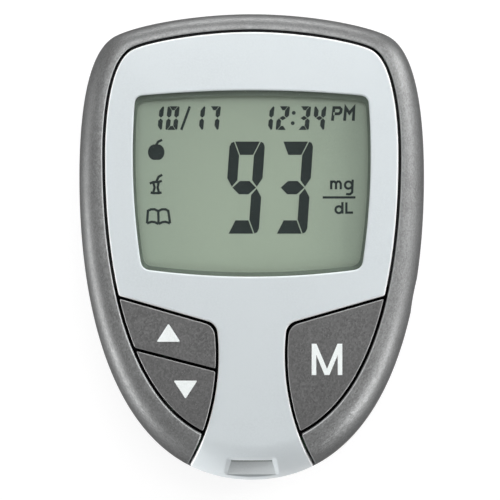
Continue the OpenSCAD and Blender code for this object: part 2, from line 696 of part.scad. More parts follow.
module jack_pins() color("#c9ccd0") for (side = [-1, 1], i = [0:1])
    translate([jack_x - jack_back - (i + 0.5) * jack_l / 2, jack_y + side * (jack_w + jack_pin.y) / 2,
        board_z - pad_t / 2]) cube([jack_pin.x, jack_pin.y, pad_t], center = true);

// Circuit board and the parts below it
module circuit_board() color("#2f6b3c") translate([0, 0, board_z]) linear_extrude(board_t) difference() {
    outer_2d(wall + board_gap);
    for (p = screw_spots) translate(p) circle(d = screw_d + 0.4);
}
module below_board(spot, h) translate([spot.x, spot.y, board_z - h]) children();
lead = [0.9, 0.45];                               // reach and thickness of a chip's leads
module chip(size, leads, pitch, sides) {
    linear_extrude(size.z) square([size.x, size.y], center = true);
    for (turn = sides, i = [0:leads - 1]) rotate(turn)
        translate([(turn % 180 == 0 ? size.x : size.y) / 2, (i - (leads - 1) / 2) * pitch - pitch / 4,
            size.z - lead[1]]) cube([lead[0], pitch / 2, lead[1]]);
}
chip_spot = [0, cell_y];                          // on the board's middle line, over the cells
chip_size = [10, 10, 1.4];
meter_chip_size = [6, 6, 1.2];
meter_chip_spot = [port_body.x / 2, port_end + meter_chip_size.y / 2 - 1.4];
store_size = [3.9, 4.9, 1.5];
store_spot = [screw_x - 6, screw_top_y - well_d - 2.4];
crystal_d = 2;
crystal_l = 6;
crystal_spot = [-port_body.x, port_end + 4.6];
capacitor = [0.9, 1.6, 0.8];
resistor = [0.6, 1.1, 0.4];
module microcontroller() color("#232426")
    below_board(chip_spot, chip_size.z) chip(chip_size, 10, 0.8, [0, 90, 180, 270]);
module measuring_chip() color("#232426")
    below_board(meter_chip_spot, meter_chip_size.z) chip(meter_chip_size, 6, 0.8, [0, 90, 180, 270]);
module memory_chip() color("#232426")
    below_board(store_spot, store_size.z) chip(store_size, 4, 1.1, [0, 180]);
module clock_crystal() color("#c3c7ca") below_board(crystal_spot, crystal_d / 2)
    rotate([0, 90, 0]) cylinder(d = crystal_d, h = crystal_l);
module chip_row(n, pitch, size) for (i = [0:n - 1]) translate([(i - (n - 1) / 2) * pitch, 0, size.z / 2])
    cube(size, center = true);
module chip_capacitors() color("#a88a62") {
    below_board(chip_spot - [0, chip_size.y / 2 + 2.6], capacitor.z) chip_row(5, 2.2, capacitor);
    below_board(meter_chip_spot + [meter_chip_size.x / 2 + 2.5, -1.5], capacitor.z)
        chip_row(2, 1.8, capacitor);
}
module chip_resistors() color("#2a2a2c") {
    below_board(chip_spot + [-2, chip_size.y / 2 + 2.6], resistor.z) chip_row(5, 1.8, resistor);
    below_board(meter_chip_spot - [0, meter_chip_size.y / 2 + 2], resistor.z) chip_row(4, 1.4, resistor);
}
module temperature_sensor() color("#30302f") below_board([0.8, port_front + 2.8], 0.6)
    chip_row(1, 1, [1.6, 0.9, 0.6]);
beeper_d = 11;
beeper_h = 3;
beeper_spot = [2.5 - screw_x, jack_y];
module beeper() color("#1f1f21") below_board(beeper_spot, beeper_h) difference() {
    cylinder(d = beeper_d, h = beeper_h);
    translate([0, 0, -over]) cylinder(d = 2, h = over + beeper_h / 2);
}

// Battery tray, its contacts and the coin cells (the left cell lies at -X)
tray_wall = 1.4;
leaf_w = 2.6;
strap_w = 1.5;
leaf_gap = 0.05;
tray_foot = slab_z + wall;
link_room = 8;                                    // opening between the cells, for the link contact
module cell_well(side, d, h) translate([side * cell_pitch / 2, cell_y, 0]) cylinder(d = d, h = h);
module battery_tray() color("#1e1f21") difference() {
    translate([-cell_pitch / 2 - cell_d / 2 - tray_wall, cell_y - cell_d / 2 - tray_wall, tray_foot])
        cube([cell_pitch + cell_d + 2 * tray_wall, cell_d + 2 * tray_wall, tray_z + tray_t - tray_foot]);
    for (side = [-1, 1]) cell_well(side, cell_d + 0.6, tray_z);
    translate([-link_room / 2, cell_y - link_room, 0]) cube([link_room, 2 * link_room, tray_z]);
    translate([-cell_pitch / 2 - leaf_w / 2 - fit, cell_y, 0]) cube([leaf_w + 2 * fit, cell_d / 2 + 0.5, tray_z]);
    translate([cell_pitch / 2, cell_y - leaf_w / 2 - fit, 0])
        cube([cell_d / 2 + 0.5, leaf_w + 2 * fit, tray_z]);
    translate([cell_pitch / 2 + cell_d / 2 - 0.2, cell_y - leaf_w / 2 - fit, 0])
        cube([0.7, leaf_w + 2 * fit, body_t]);
    translate([-cell_pitch / 2 - leaf_w / 2 - fit, cell_y - pad_size.y / 2 - fit, 0])
        cube([leaf_w + 2 * fit, contact_t + 2 * fit, body_t]);
}
pad_size = [6, 10];                               // the plate over a cell, and the springs on it
spring_d = 1.6;
module cell_pad(side) {
    translate([side * cell_pitch / 2 - pad_size.x / 2, cell_y - pad_size.y / 2, tray_z - contact_t])
        cube([pad_size.x, pad_size.y, contact_t]);
    for (end = [-1, 1]) translate([side * cell_pitch / 2, cell_y + end * 0.3 * pad_size.y, cell_z + cell_t])
        cylinder(d = spring_d, h = contact_room - contact_t / 2);
}
module negative_contact() color("#c9ccd0") {
    cell_pad(-1);
    translate([-cell_pitch / 2 - leaf_w / 2, cell_y - pad_size.y / 2, tray_z - contact_t])
        cube([leaf_w, contact_t, board_z - tray_z + contact_t]);
}
module link_contact() color("#c9ccd0") {
    leaf_y = cell_y + cell_d / 2 + leaf_gap;
    cell_pad(1);
    strap_y = cell_y + pad_size.y / 2 + 1;
    translate([(cell_pitch - pad_size.x) / 2, strap_y - 2, tray_z - contact_t])
        cube([leaf_w, strap_w + 2, contact_t]);
    translate([-cell_pitch / 2 - leaf_w / 2, strap_y, tray_z - contact_t])
        cube([cell_pitch + leaf_w - 2, strap_w, contact_t]);
    translate([-cell_pitch / 2 - leaf_w / 2, strap_y, tray_z - contact_t])
        cube([leaf_w, leaf_y - strap_y + contact_t, contact_t]);
    translate([-cell_pitch / 2 - leaf_w / 2, leaf_y, tray_foot + fit])
        cube([leaf_w, contact_t, tray_z - tray_foot - fit]);
}
module positive_contact() color("#c9ccd0")
    translate([cell_pitch / 2 + cell_d / 2 + leaf_gap, cell_y - leaf_w / 2, tray_foot + fit])
        cube([contact_t, leaf_w, board_z - tray_foot - fit]);
module cell(side) color("#c8cbce") translate([side * cell_pitch / 2, cell_y, cell_z]) {
    cylinder(d = cell_d, h = cell_t - 0.35);
    cylinder(d = cell_d - 2.4, h = cell_t);
}
module left_cell() cell(-1);
module right_cell() cell(1);

back_cover();
bezel();
faceplate();
front_chassis();
display_window();
window_gasket();
front_polariser();
lcd_front_glass();
lcd_back_glass();
rear_reflector();
lcd_holder();
upper_zebra_strip();
lower_zebra_strip();
circuit_board();
microcontroller();
measuring_chip();
memory_chip();
clock_crystal();
chip_capacitors();
chip_resistors();
temperature_sensor();
beeper();
strip_port();
strip_contacts();
data_jack();
jack_pins();
battery_tray();
negative_contact();
positive_contact();
link_contact();
left_cell();
right_cell();
battery_door();
case_screws();
keypad_mat();
up_dome();
down_dome();
memory_dome();
up_pill();
down_pill();
memory_pill();
up_key();
down_key();
memory_key();
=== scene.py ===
"""Looks of a pocket blood glucose meter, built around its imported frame.

Smooth shells, keys and a window are laid over the case's two skins, the display gets its segments, and
every piece and every carried-over node gets the finish of its real material. Sizes are in millimetres,
in the frame's own axes: +Z out of the display, +Y to the top end.
"""
import json
import math

import bpy
import numpy as np
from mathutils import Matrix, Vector
from mathutils.geometry import delaunay_2d_cdt


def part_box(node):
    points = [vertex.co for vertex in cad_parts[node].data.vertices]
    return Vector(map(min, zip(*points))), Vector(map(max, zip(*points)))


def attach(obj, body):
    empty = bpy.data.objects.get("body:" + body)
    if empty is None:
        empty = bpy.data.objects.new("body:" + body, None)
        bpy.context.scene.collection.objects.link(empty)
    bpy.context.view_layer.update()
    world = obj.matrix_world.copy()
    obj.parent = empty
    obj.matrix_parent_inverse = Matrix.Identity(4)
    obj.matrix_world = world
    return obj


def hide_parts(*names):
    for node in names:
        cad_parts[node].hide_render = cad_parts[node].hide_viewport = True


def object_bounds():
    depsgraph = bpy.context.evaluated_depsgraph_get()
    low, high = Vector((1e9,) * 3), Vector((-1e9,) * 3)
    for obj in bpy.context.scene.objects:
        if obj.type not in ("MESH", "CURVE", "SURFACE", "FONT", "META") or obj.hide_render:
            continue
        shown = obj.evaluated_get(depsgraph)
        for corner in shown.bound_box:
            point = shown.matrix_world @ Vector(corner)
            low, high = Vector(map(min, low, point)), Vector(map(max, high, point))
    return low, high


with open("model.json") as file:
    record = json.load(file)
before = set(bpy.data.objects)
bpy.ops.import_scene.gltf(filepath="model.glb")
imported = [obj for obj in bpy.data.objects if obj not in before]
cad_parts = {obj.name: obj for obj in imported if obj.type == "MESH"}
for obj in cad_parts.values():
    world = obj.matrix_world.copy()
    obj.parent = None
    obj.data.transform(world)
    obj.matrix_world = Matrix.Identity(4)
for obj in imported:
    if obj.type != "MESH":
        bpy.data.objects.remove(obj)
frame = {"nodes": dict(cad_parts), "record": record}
NODES = frame["nodes"]
MM = 0.001
CAD_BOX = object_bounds()


# ---------------------------------------------------------------- sizes of the meter

def node_box(name):
    """Lowest and highest corner of a node, in millimetres."""
    low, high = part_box(name)
    return np.array(low) / MM, np.array(high) / MM


def falling(slope):
    """Direction to the right that falls by a slope, in degrees."""
    return np.array([math.cos(math.radians(slope)), -math.sin(math.radians(slope))])


def square_to(way):
    """A direction turned a quarter to the left."""
    return np.array([-way[1], way[0]])


CASE_LOW, CASE_HIGH = np.array(CAD_BOX[0]) / MM, np.array(CAD_BOX[1]) / MM
HALF_W = 28.5               # half the width across the widest line
TOP_Y = CASE_HIGH[1]        # top end
CHIN_Y = CASE_LOW[1]        # chin
HUB = np.array([0, 5.0])    # middle that the outlines turn about
WIDEST_Y = 11.5
PARTING = node_box("bezel")[0][2]           # plane between the back cover and the bezel
SEAM_Z = node_box("bezel")[1][2]            # height of the seam around the face
CROWN = 1.2                 # rise of the face above the seam
WALL = 1.6                  # thickness of the back cover
SHOULDER = np.array([HALF_W - 5.5, TOP_Y - 3.9])            # where the top end turns into the side
SHOULDER_WAY = falling(33)  # the outline's direction there
SEAM_SIDE = HALF_W - 3.9    # the same places of the seam
SEAM_TOP = TOP_Y - 2.65
SEAM_CHIN = CHIN_Y + 5.9
SEAM_SHOULDER = np.array([HALF_W - 8.45, TOP_Y - 5.75])
SEAM_WAY = falling(30)
SEAM_WIDEST_Y = WIDEST_Y + 3.5
SEAM_W = 0.46               # dark gap between the bezel and the face
BACK_ROUND = 4.5            # rounding of the back at the sides and the top end
CHIN_ROUND = 12.0           # and at the chin

LEG_Y = CHIN_Y + 20.6       # waist of the leg between the keys
LEG_W = 10.9
LEG_CURVE = 38.0            # radius of the leg's hollow sides
LEG_MIDDLE = np.array([-LEG_W / 2 - LEG_CURVE, LEG_Y])      # of the left side's curve
KEY_LINE_Y = CHIN_Y + 24.2  # where the line above the keys would cross the middle
KEY_LINE_SLOPE = 16.0
KEY_LINE_WAY = falling(KEY_LINE_SLOPE)
KEY_FILLET = 2.2            # between that line and the leg's side
KEY_GAP = 0.46              # dark gap around the keys
KEY_CORNER = 0.3
KEY_PROUD = 0.15            # the keys stand this far out of the face
KEY_T = 2.4
KEY_EDGE = 0.18
DIVIDE_Y = CHIN_Y + 16.7    # where the line between the up and down keys would cross the middle
DIVIDE_WAY = falling(14.5)

VIEW_HALF = 19.6            # half the width of the display opening
VIEW_TOP = TOP_Y - 12.7
VIEW_BOTTOM = CHIN_Y + 33.6
VIEW_MIDDLE = (VIEW_TOP + VIEW_BOTTOM) / 2
VIEW_BELLY_Y = VIEW_TOP - 10.7              # where the opening is widest
VIEW_SIDE_CURVE = 118.0     # radii of its four bowed sides
VIEW_TOP_CURVE = 190.0
VIEW_BOTTOM_CURVE = 130.0
VIEW_CORNER = 1.3
VIEW_EDGE = 0.3
WINDOW_DROP = 0.25          # the window lies this far under the face
WINDOW_T = 1.4
WINDOW_EDGE = 0.1
FIT = 0.05                  # gap around the window
SHADE_BAND_W = 0.45         # width of the band of painted shade under the window's edge
SHADE_BAND_LOW = 0.1             # its inner outline is moved towards the chin
SHADE_BAND_SHARE = 0.975         # and is this much shorter, so that the painted shade is deeper at the top
SHADE_BAND_GAP = 0.03
SHADE_BAND_T = 0.06

PORT_FLOOR = 14.75          # floor of the test strip's recess
PORT_Y = CHIN_Y + 3.3       # its inner end
PORT_W = 8.6                # its width at the chin
PORT_END_W = 6.6            # and at the inner end
PORT_SLOPE = 0.5            # slope of the bevel around it
PORT_BEVELS = (0.18, 0.7, 1.0)              # the bevel's width at the lip, past it and at the inner end
PORT_LIP = (0.2, 1.1)       # it widens between these distances from the lip
PORT_SLIT = 0.17            # slit between its floor and its inner end
PORT_WALL = 0.7
PORT_WALL_TOP = 1.3         # the walls end this far under the face
PORT_FLOOR_T = 0.6
SLOT_H = 0.9                # height of the slot in its inner end

EDGE = 0.28                 # rounding of the shells' edges
EDGE_STEPS = 3
BEZEL_T = 1.4
FACE_T = 1.5
SHELL_CORNER = 0.3          # where two of a shell's sides meet
SEAM_CORNER = 0.35


# ---------------------------------------------------------------- curves and outlines

def curve(a, b, c, d):
    """Points along a cubic curve from a to d."""
    t = np.linspace(0, 1, 121)[:, None]
    s = 1 - t
    a, b, c, d = (np.array(p, float) for p in (a, b, c, d))
    return s ** 3 * a + 3 * s * s * t * b + 3 * s * t * t * c + t ** 3 * d


def length(points):
    """Length of each vector of a list."""
    return np.sqrt((points * points).sum(-1))


def left_of(vectors):
    """Each plane vector turned a quarter to the left, at length one."""
    turned = np.stack([-vectors[:, 1], vectors[:, 0]], 1)
    return turned / np.maximum(length(turned), 1e-9)[:, None]


def ring(points):
    """Radius of a symmetric outline about the hub, as a function of points, from its right half."""
    q = points - HUB
    turn = np.arctan2(q[:, 0], q[:, 1])
    order = np.argsort(turn)
    turns, reaches = turn[order], length(q)[order]
    return lambda q: np.interp(np.arctan2(np.abs(q[:, 0]), q[:, 1]), turns, reaches)


def heading(turns):
    """Directions from the hub, from degrees clockwise from the top end."""
    turns = np.radians(turns)
    return np.stack([np.sin(turns), np.cos(turns)], 1)


def turn_of(point):
    """Direction of a point from the hub, in degrees clockwise from the top end."""
    q = np.asarray(point) - HUB
    return math.degrees(math.atan2(q[0], q[1])) % 360


def along_ring(radius, start, end, steps):
    """Points on a ring from one direction to another."""
    way = heading(np.linspace(start, end, steps + 1))
    return HUB + way * radius(way)[:, None]


def inset_ring(radius, inset):
    """The ring moved in by a distance, as a radius function again."""
    points = along_ring(radius, 0, 180, 720)
    before = np.vstack([points[:1] * [-1, 1] + [-1e-6, 0], points[:-1]])
    after = np.vstack([points[1:], points[-1:] * [-1, 1] + [-1e-6, 0]])
    moved = points - inset * left_of(after - before)
    moved[:, 0] = np.maximum(moved[:, 0], 0)
    return ring(moved)


# The right half of the outline and of the seam: cubic curves, with the handles that give their fullness
outer = ring(np.vstack([
    curve([0, TOP_Y], [10.2, TOP_Y], SHOULDER - 3.3 * SHOULDER_WAY, SHOULDER),
    curve(SHOULDER, SHOULDER + 5.9 * SHOULDER_WAY, [HALF_W, WIDEST_Y + 7.2], [HALF_W, WIDEST_Y]),
    curve([HALF_W, WIDEST_Y], [HALF_W, WIDEST_Y - 28.1], [19.8, CHIN_Y], [0, CHIN_Y])]))
seam = ring(np.vstack([
    curve([0, SEAM_TOP], [7.8, SEAM_TOP], SEAM_SHOULDER - 2.9 * SEAM_WAY, SEAM_SHOULDER),
    curve(SEAM_SHOULDER, SEAM_SHOULDER + 4.4 * SEAM_WAY, [SEAM_SIDE, SEAM_WIDEST_Y + 6],
          [SEAM_SIDE, SEAM_WIDEST_Y]),
    curve([SEAM_SIDE, SEAM_WIDEST_Y], [SEAM_SIDE, SEAM_WIDEST_Y - 29.3], [16, SEAM_CHIN],
          [0, SEAM_CHIN])]))
face_ring = inset_ring(seam, SEAM_W)


def rest(q):
    """Radius of the flat face that the meter rests on."""
    chin_share = ((1 - q[:, 1] / np.maximum(length(q), 1e-9)) / 2) ** 4
    return outer(q) - (BACK_ROUND + (CHIN_ROUND - BACK_ROUND) * chin_share)


class Skin:
    """One half of the case: a core inside a ring, and a rim of a quarter ellipse out to the outline.

    A point on a skin has flat coordinates: as seen from above on the core, and unrolled on the rim.
    The rim leans from 0 degrees at the core to 90 at the outline. A soft rim is shaded as a quarter
    circle."""

    def __init__(self, core, rise, crown, mean_reach, soft=False):
        self.core, self.crown, self.soft = core, crown, soft
        self.height, self.side = abs(rise), math.copysign(1, rise)
        self.leans = np.linspace(0, math.pi / 2, 181)
        step = np.hypot(mean_reach * np.cos(self.leans), self.height * np.sin(self.leans))
        self.runs = np.concatenate([[0], np.cumsum((step[1:] + step[:-1]) / 2 * self.leans[1])])

    def unroll(self, plan):
        """Flat coordinates of points given as seen from above."""
        q = plan - HUB
        r = np.maximum(length(q), 1e-9)
        core, reach = self.core(q), outer(q) - self.core(q)
        lean = np.arcsin(np.clip((r - core) / reach, 0, 1))
        flat = np.where(r > core, core + np.interp(lean, self.leans, self.runs), r)
        return HUB + q * (flat / r)[:, None]

    def reach(self, q, lean):
        """Radius of the rim's row of one lean, as seen from above."""
        return self.core(q) + (outer(q) - self.core(q)) * math.sin(math.radians(lean))

    def unrolled(self, q, lean):
        """The same row's radius in flat coordinates."""
        return self.core(q) + np.interp(math.radians(lean), self.leans, self.runs)

    def row(self, lean, start, end, steps):
        """Flat points along the row of one lean."""
        return along_ring(lambda q: self.unrolled(q, lean), start, end, steps)

    def point(self, flat, depth=0.0):
        """Places on the skin, or a depth below it."""
        q = flat - HUB
        rho = np.maximum(length(q), 1e-9)
        core, reach = self.core(q), outer(q) - self.core(q)
        lean = np.interp(rho - core, self.runs, self.leans)
        on_rim = rho > core
        r = np.where(on_rim, core + (reach - depth) * np.sin(lean), rho)
        out = reach * np.sin(lean)
        ease = 2 * self.crown / core * out * (1 - out / reach) ** 2
        domed = self.height + self.crown * (1 - (rho / core) ** 2) - depth
        z = np.where(on_rim, (self.height - depth) * np.cos(lean) - ease, domed)
        return np.column_stack([HUB + q * (r / rho)[:, None], PARTING + self.side * z])

    def normal(self, flat):
        """Directions square to the skin, outwards."""
        step = 0.02
        across = self.point(flat + [step, 0]) - self.point(flat - [step, 0])
        along = self.point(flat + [0, step]) - self.point(flat - [0, step])
        n = np.cross(across, along) * self.side
        if self.soft:
            q = flat - HUB
            share = (outer(q) - self.core(q)) / self.height
            n[:, :2] *= np.where(length(q) > self.core(q), share, 1.0)[:, None]
        return n / length(n)[:, None]


front = Skin(seam, SEAM_Z - PARTING, CROWN, 4.5)
bezel_skin = Skin(seam, SEAM_Z - PARTING, CROWN, 4.5, soft=True)
back = Skin(rest, -PARTING, 0.0, 5.0)


def clip(points, *insides):
    """The stretch of a line on which every inside function is positive, with its ends on the limits."""
    value = np.min([inside(points) for inside in insides], axis=0)
    kept = np.flatnonzero(value > 0)
    first, last = kept[0], kept[-1]
    out = [points[first:last + 1]]
    if first > 0:
        share = value[first] / (value[first] - value[first - 1])
        out.insert(0, points[first] + share * (points[first - 1:first] - points[first]))
    if last < len(points) - 1:
        share = value[last] / (value[last] - value[last + 1])
        out.append(points[last] + share * (points[last + 1:last + 2] - points[last]))
    return np.vstack(out)


def run_of(points):
    """How far along a line each of its points lies."""
    return np.concatenate([[0], np.cumsum(length(np.diff(points, axis=0)))])


def place_at(points, runs):
    """Places on a line, by how far along it they lie."""
    return np.stack([np.interp(runs, run_of(points), values) for values in points.T], 1)


def shorten(points, cut):
    """A line without its first stretch of some length, unless that is about half of it."""
    run = run_of(points)
    if cut <= 0 or cut >= run[-1] * 0.48:
        return points
    return np.vstack([place_at(points, [cut]), points[run > cut + 1e-6]])


def join(lines, *corners):
    """A closed outline from lines that meet end to end, with corners of one reach or each its own."""
    out = []
    n = len(lines)
    if len(corners) == 1:
        corners *= n
    for i, line in enumerate(lines):
        line = shorten(line, corners[i - 1])
        line = shorten(line[::-1], corners[i])[::-1]
        out.append(line)
    loop = []
    for i in range(n):
        a, c, b = out[i][-1], lines[i][-1], out[(i + 1) % n][0]
        loop.append(out[i])
        if corners[i] > 0:
            t = np.linspace(0, 1, 7)[1:-1, None]
            loop.append((1 - t) ** 2 * a + 2 * t * (1 - t) * c + t * t * b)
    loop = np.vstack(loop)
    apart = length(loop - np.roll(loop, 1, axis=0)) > 1e-4
    return loop[apart]


def evenly(points, gap):
    """A line with its points a set distance apart."""
    whole = run_of(points)[-1]
    return place_at(points, np.linspace(0, whole, max(2, round(whole / gap) + 1)))


def last_that(holds, a, b):
    """Where a test that holds at a stops holding on the way to b, found by halving."""
    for _ in range(40):
        middle = (a + b) / 2
        a, b = (middle, b) if holds(middle) else (a, middle)
    return middle


def arc(middle, radius, start, end, steps=24):
    """Points on a circle, in degrees counter-clockwise from +X."""
    turn = np.radians(np.linspace(start, end, steps + 1))
    return np.array(middle) + radius * np.stack([np.cos(turn), np.sin(turn)], 1)


def mirrored(points):
    """The same line on the other side, running the other way round."""
    return (points * [-1, 1])[::-1]


# ---------------------------------------------------------------- outlines on the face

PAST_SIDE = 40.0            # lines across the face start this far out, and are cut back to its edge


def in_ring(radius):
    """How far points lie inside a ring."""
    return lambda p: radius(p - HUB) - length(p - HUB)


def below_key_line(gap):
    """How far points of the left side lie below the line above the keys."""
    return lambda p: -((p - [0, KEY_LINE_Y]) @ square_to(KEY_LINE_WAY)) - gap


def beside_leg(gap):
    """How far points of the left side lie outside the leg."""
    return lambda p: LEG_CURVE - gap - length(p - LEG_MIDDLE)


def key_line(gap):
    """The line above the left keys, from the side to the leg, with the fillet into the leg's side."""
    way, up = KEY_LINE_WAY, square_to(KEY_LINE_WAY)
    base = np.array([0, KEY_LINE_Y]) - (gap + KEY_FILLET) * up
    reach = LEG_CURVE - gap - KEY_FILLET
    off = base - LEG_MIDDLE
    b = off @ way
    middle = base + (-b + math.sqrt(b * b - off @ off + reach * reach)) * way
    to_leg = middle - LEG_MIDDLE
    end = math.degrees(math.atan2(to_leg[1], to_leg[0]))
    fillet = arc(middle, KEY_FILLET, 90 - KEY_LINE_SLOPE, end, 10)
    inner = middle + KEY_FILLET * up
    side = arc(LEG_MIDDLE, LEG_CURVE - gap, end, end - 60, 160)
    return np.vstack([evenly(np.array([inner - PAST_SIDE * way, inner]), 0.5), fillet[1:], side[1:]])


def divide_line(gap):
    """The line between the up and down keys, from the side to the leg."""
    base = np.array([0, DIVIDE_Y]) + gap * square_to(DIVIDE_WAY)
    return evenly(np.array([base - PAST_SIDE * DIVIDE_WAY, base]), 0.5)


def above_divide(gap):
    """How far points of the left side lie above the line between the up and down keys."""
    return lambda p: (p - [0, DIVIDE_Y]) @ square_to(DIVIDE_WAY) - gap


def key_outline(part):
    """Outline of a key cap, counter-clockwise; the memory key's is the whole ground of its side."""
    inside = in_ring(face_ring)
    beside = clip(key_line(KEY_GAP), inside)
    rim = along_ring(face_ring, 360, 180, 400)
    ground = (beside_leg(KEY_GAP), below_key_line(KEY_GAP))
    if part == "up":
        over = above_divide(KEY_GAP / 2)
        low = clip(divide_line(KEY_GAP / 2), inside, beside_leg(KEY_GAP))
        return join([low, clip(beside, over)[::-1], clip(rim, over, *ground)], KEY_CORNER)
    if part == "down":
        under = lambda p: -above_divide(-KEY_GAP / 2)(p)
        top = clip(divide_line(-KEY_GAP / 2), inside, beside_leg(KEY_GAP))
        return join([top[::-1], clip(rim, under, beside_leg(KEY_GAP)), clip(beside, under)[::-1]],
                    KEY_CORNER)
    return mirrored(join([beside[::-1], clip(rim, *ground)], KEY_CORNER))


def leg_side(gap):
    """Flat line of the leg's left side, from the key line's outer end down to the parting plane."""
    inner = clip(key_line(gap), in_ring(seam))
    down = [inner[-1]]
    start = math.degrees(math.atan2(*(inner[-1] - LEG_MIDDLE)[::-1]))
    side_at = lambda turn: arc(LEG_MIDDLE, LEG_CURVE - gap, turn, turn, 0)
    for lean in np.linspace(4, 90, 22):
        inside = in_row(front, lean)
        q = side_at(last_that(lambda turn: inside(side_at(turn))[0] > 0, start, start - 14)) - HUB
        down.append(HUB + q[0] * front.unrolled(q, lean)[0] / length(q)[0])
    return inner, np.array(down)


def view_outline(grow=0.0):
    """Outline of the display opening, counter-clockwise."""
    x = np.linspace(-VIEW_HALF, VIEW_HALF, 61)
    top = np.column_stack([x[::-1], VIEW_TOP + grow - x[::-1] ** 2 / (2 * VIEW_TOP_CURVE)])
    low = np.column_stack([x, VIEW_BOTTOM - grow + x ** 2 / (2 * VIEW_BOTTOM_CURVE)])
    middle = np.array([VIEW_HALF - VIEW_SIDE_CURVE, VIEW_BELLY_Y])
    right = arc(middle, VIEW_SIDE_CURVE + grow, -12, 8, 90)
    in_side = lambda p: VIEW_SIDE_CURVE + grow - length(np.abs(p * [1, 0]) + p * [0, 1] - middle)
    under_top = lambda p: VIEW_TOP + grow - p[:, 0] ** 2 / (2 * VIEW_TOP_CURVE) - p[:, 1]
    over_low = lambda p: p[:, 1] - VIEW_BOTTOM + grow - p[:, 0] ** 2 / (2 * VIEW_BOTTOM_CURVE)
    right = clip(right, under_top, over_low)
    return join([clip(low, in_side), right, clip(top, in_side), mirrored(right)], VIEW_CORNER)


def lean_at(skin, z):
    """The rim's lean, in degrees, at a height."""
    return math.degrees(math.acos(abs(z - PARTING) / skin.height))


def in_row(skin, lean):
    """How far plan points lie inside the rim's row of one lean."""
    return lambda p: skin.reach(p - HUB, lean) - length(p - HUB)


def recess_sides(lean):
    """Plan lines of the strip port's recess: its inner end, and its right side to a row of the rim."""
    inner = np.array([PORT_END_W / 2, PORT_Y])
    end = evenly(np.array([inner * [-1, 1], inner]), 0.4)
    out = evenly(np.array([inner, [PORT_W / 2, CHIN_Y]]), 0.2)
    return end, clip(out, in_row(front, lean))


# ---------------------------------------------------------------- materials

# Object coordinates are in metres: a pattern of a size in millimetres has a scale of 1 / (size * MM)

def srgb(code):
    """Linear colour of an sRGB hex value."""
    parts = [int(code[i:i + 2], 16) / 255 for i in (1, 3, 5)]
    return [p / 12.92 if p <= 0.04045 else ((p + 0.055) / 1.055) ** 2.4 for p in parts] + [1.0]


def add(tree, kind, inputs=None, **settings):
    """A node with its settings; an input, by name or number, takes a value, an output or a node.

    A node stands for its first output."""
    node = tree.nodes.new(kind)
    for name, value in settings.items():
        setattr(node, name, value)
    for name, value in (inputs or {}).items():
        if isinstance(value, bpy.types.Node):
            value = value.outputs[0]
        if isinstance(value, bpy.types.NodeSocket):
            tree.links.new(value, node.inputs[name])
        else:
            node.inputs[name].default_value = value
    return node


def new_material(name, stretch=(1, 1, 1)):
    """An empty node material, with its tree and the places on a piece that its patterns read."""
    material = bpy.data.materials.new(name)
    material.use_nodes = True
    tree = material.node_tree
    tree.nodes.clear()
    place = add(tree, "ShaderNodeTexCoord").outputs["Object"]
    return material, tree, add(tree, "ShaderNodeMapping", {"Vector": place, "Scale": stretch})


def grain(tree, place, size, low=0.0, high=1.0, detail=2.0):
    """A soft random pattern of one grain size, spread over a range."""
    spots = add(tree, "ShaderNodeTexNoise", {
        "Vector": place, "Scale": 1 / (size * MM), "Detail": detail}).outputs["Fac"]
    return add(tree, "ShaderNodeMapRange", {
        "Value": spots, "From Min": 0.3, "From Max": 0.7, "To Min": low, "To Max": high})


def with_edges(tree, body, edge):
    """A colour that gives way to another on a piece's rounded edges; on the face, the bezel and the keys
    it is a painted highlight.
    """
    rim = add(tree, "ShaderNodeAttribute", attribute_name="edge").outputs["Fac"]
    return add(tree, "ShaderNodeMix", {0: rim, 6: body, 7: srgb(edge)}, data_type="RGBA").outputs[2]


FLAKE = 0.24                # real flakes are 0.02 mm; drawn coarser so that they show
CLOUD = 7.0                 # size of the paint's clouds, and of a moulding's flow marks
FLOW = 9.0


def flake_paint(name, dark, light, edge, tilt, rough):
    """Two-coat metallic paint on moulded ABS, satin.

    Leafing aluminium flakes lie almost flat under a soft clear coat: each is a little lighter or darker
    than the next and glints on its own; rounded edges are painted paler, a painted highlight."""
    material, tree, place = new_material(name)
    flakes = add(tree, "ShaderNodeTexVoronoi", {
        "Vector": place, "Scale": 1 / (FLAKE * MM)}).outputs["Color"]
    cloud = grain(tree, place, CLOUD, -0.12, 0.12, 1.0)
    share = add(tree, "ShaderNodeMath", {0: flakes, 1: cloud}, operation="ADD")
    body = add(tree, "ShaderNodeMix", {
        0: share, 6: srgb(dark), 7: srgb(light)}, data_type="RGBA").outputs[2]
    centred = add(tree, "ShaderNodeVectorMath", {0: flakes, 1: (0.5, 0.5, 0.5)}, operation="SUBTRACT")
    lean = add(tree, "ShaderNodeVectorMath", {0: centred, "Scale": tilt}, operation="SCALE")
    facing = add(tree, "ShaderNodeNewGeometry").outputs["Normal"]
    tilted = add(tree, "ShaderNodeVectorMath", {0: facing, 1: lean}, operation="ADD")
    normal = add(tree, "ShaderNodeVectorMath", {0: tilted}, operation="NORMALIZE")
    shader = add(tree, "ShaderNodeBsdfPrincipled", {
        "Base Color": with_edges(tree, body, edge), "Metallic": 0.8, "Specular Tint": srgb("#8c8c8c"),
        "Normal": normal, "Roughness": grain(tree, place, 1.2, rough - 0.04, rough + 0.04)})
    add(tree, "ShaderNodeOutputMaterial", {"Surface": shader})
    return material


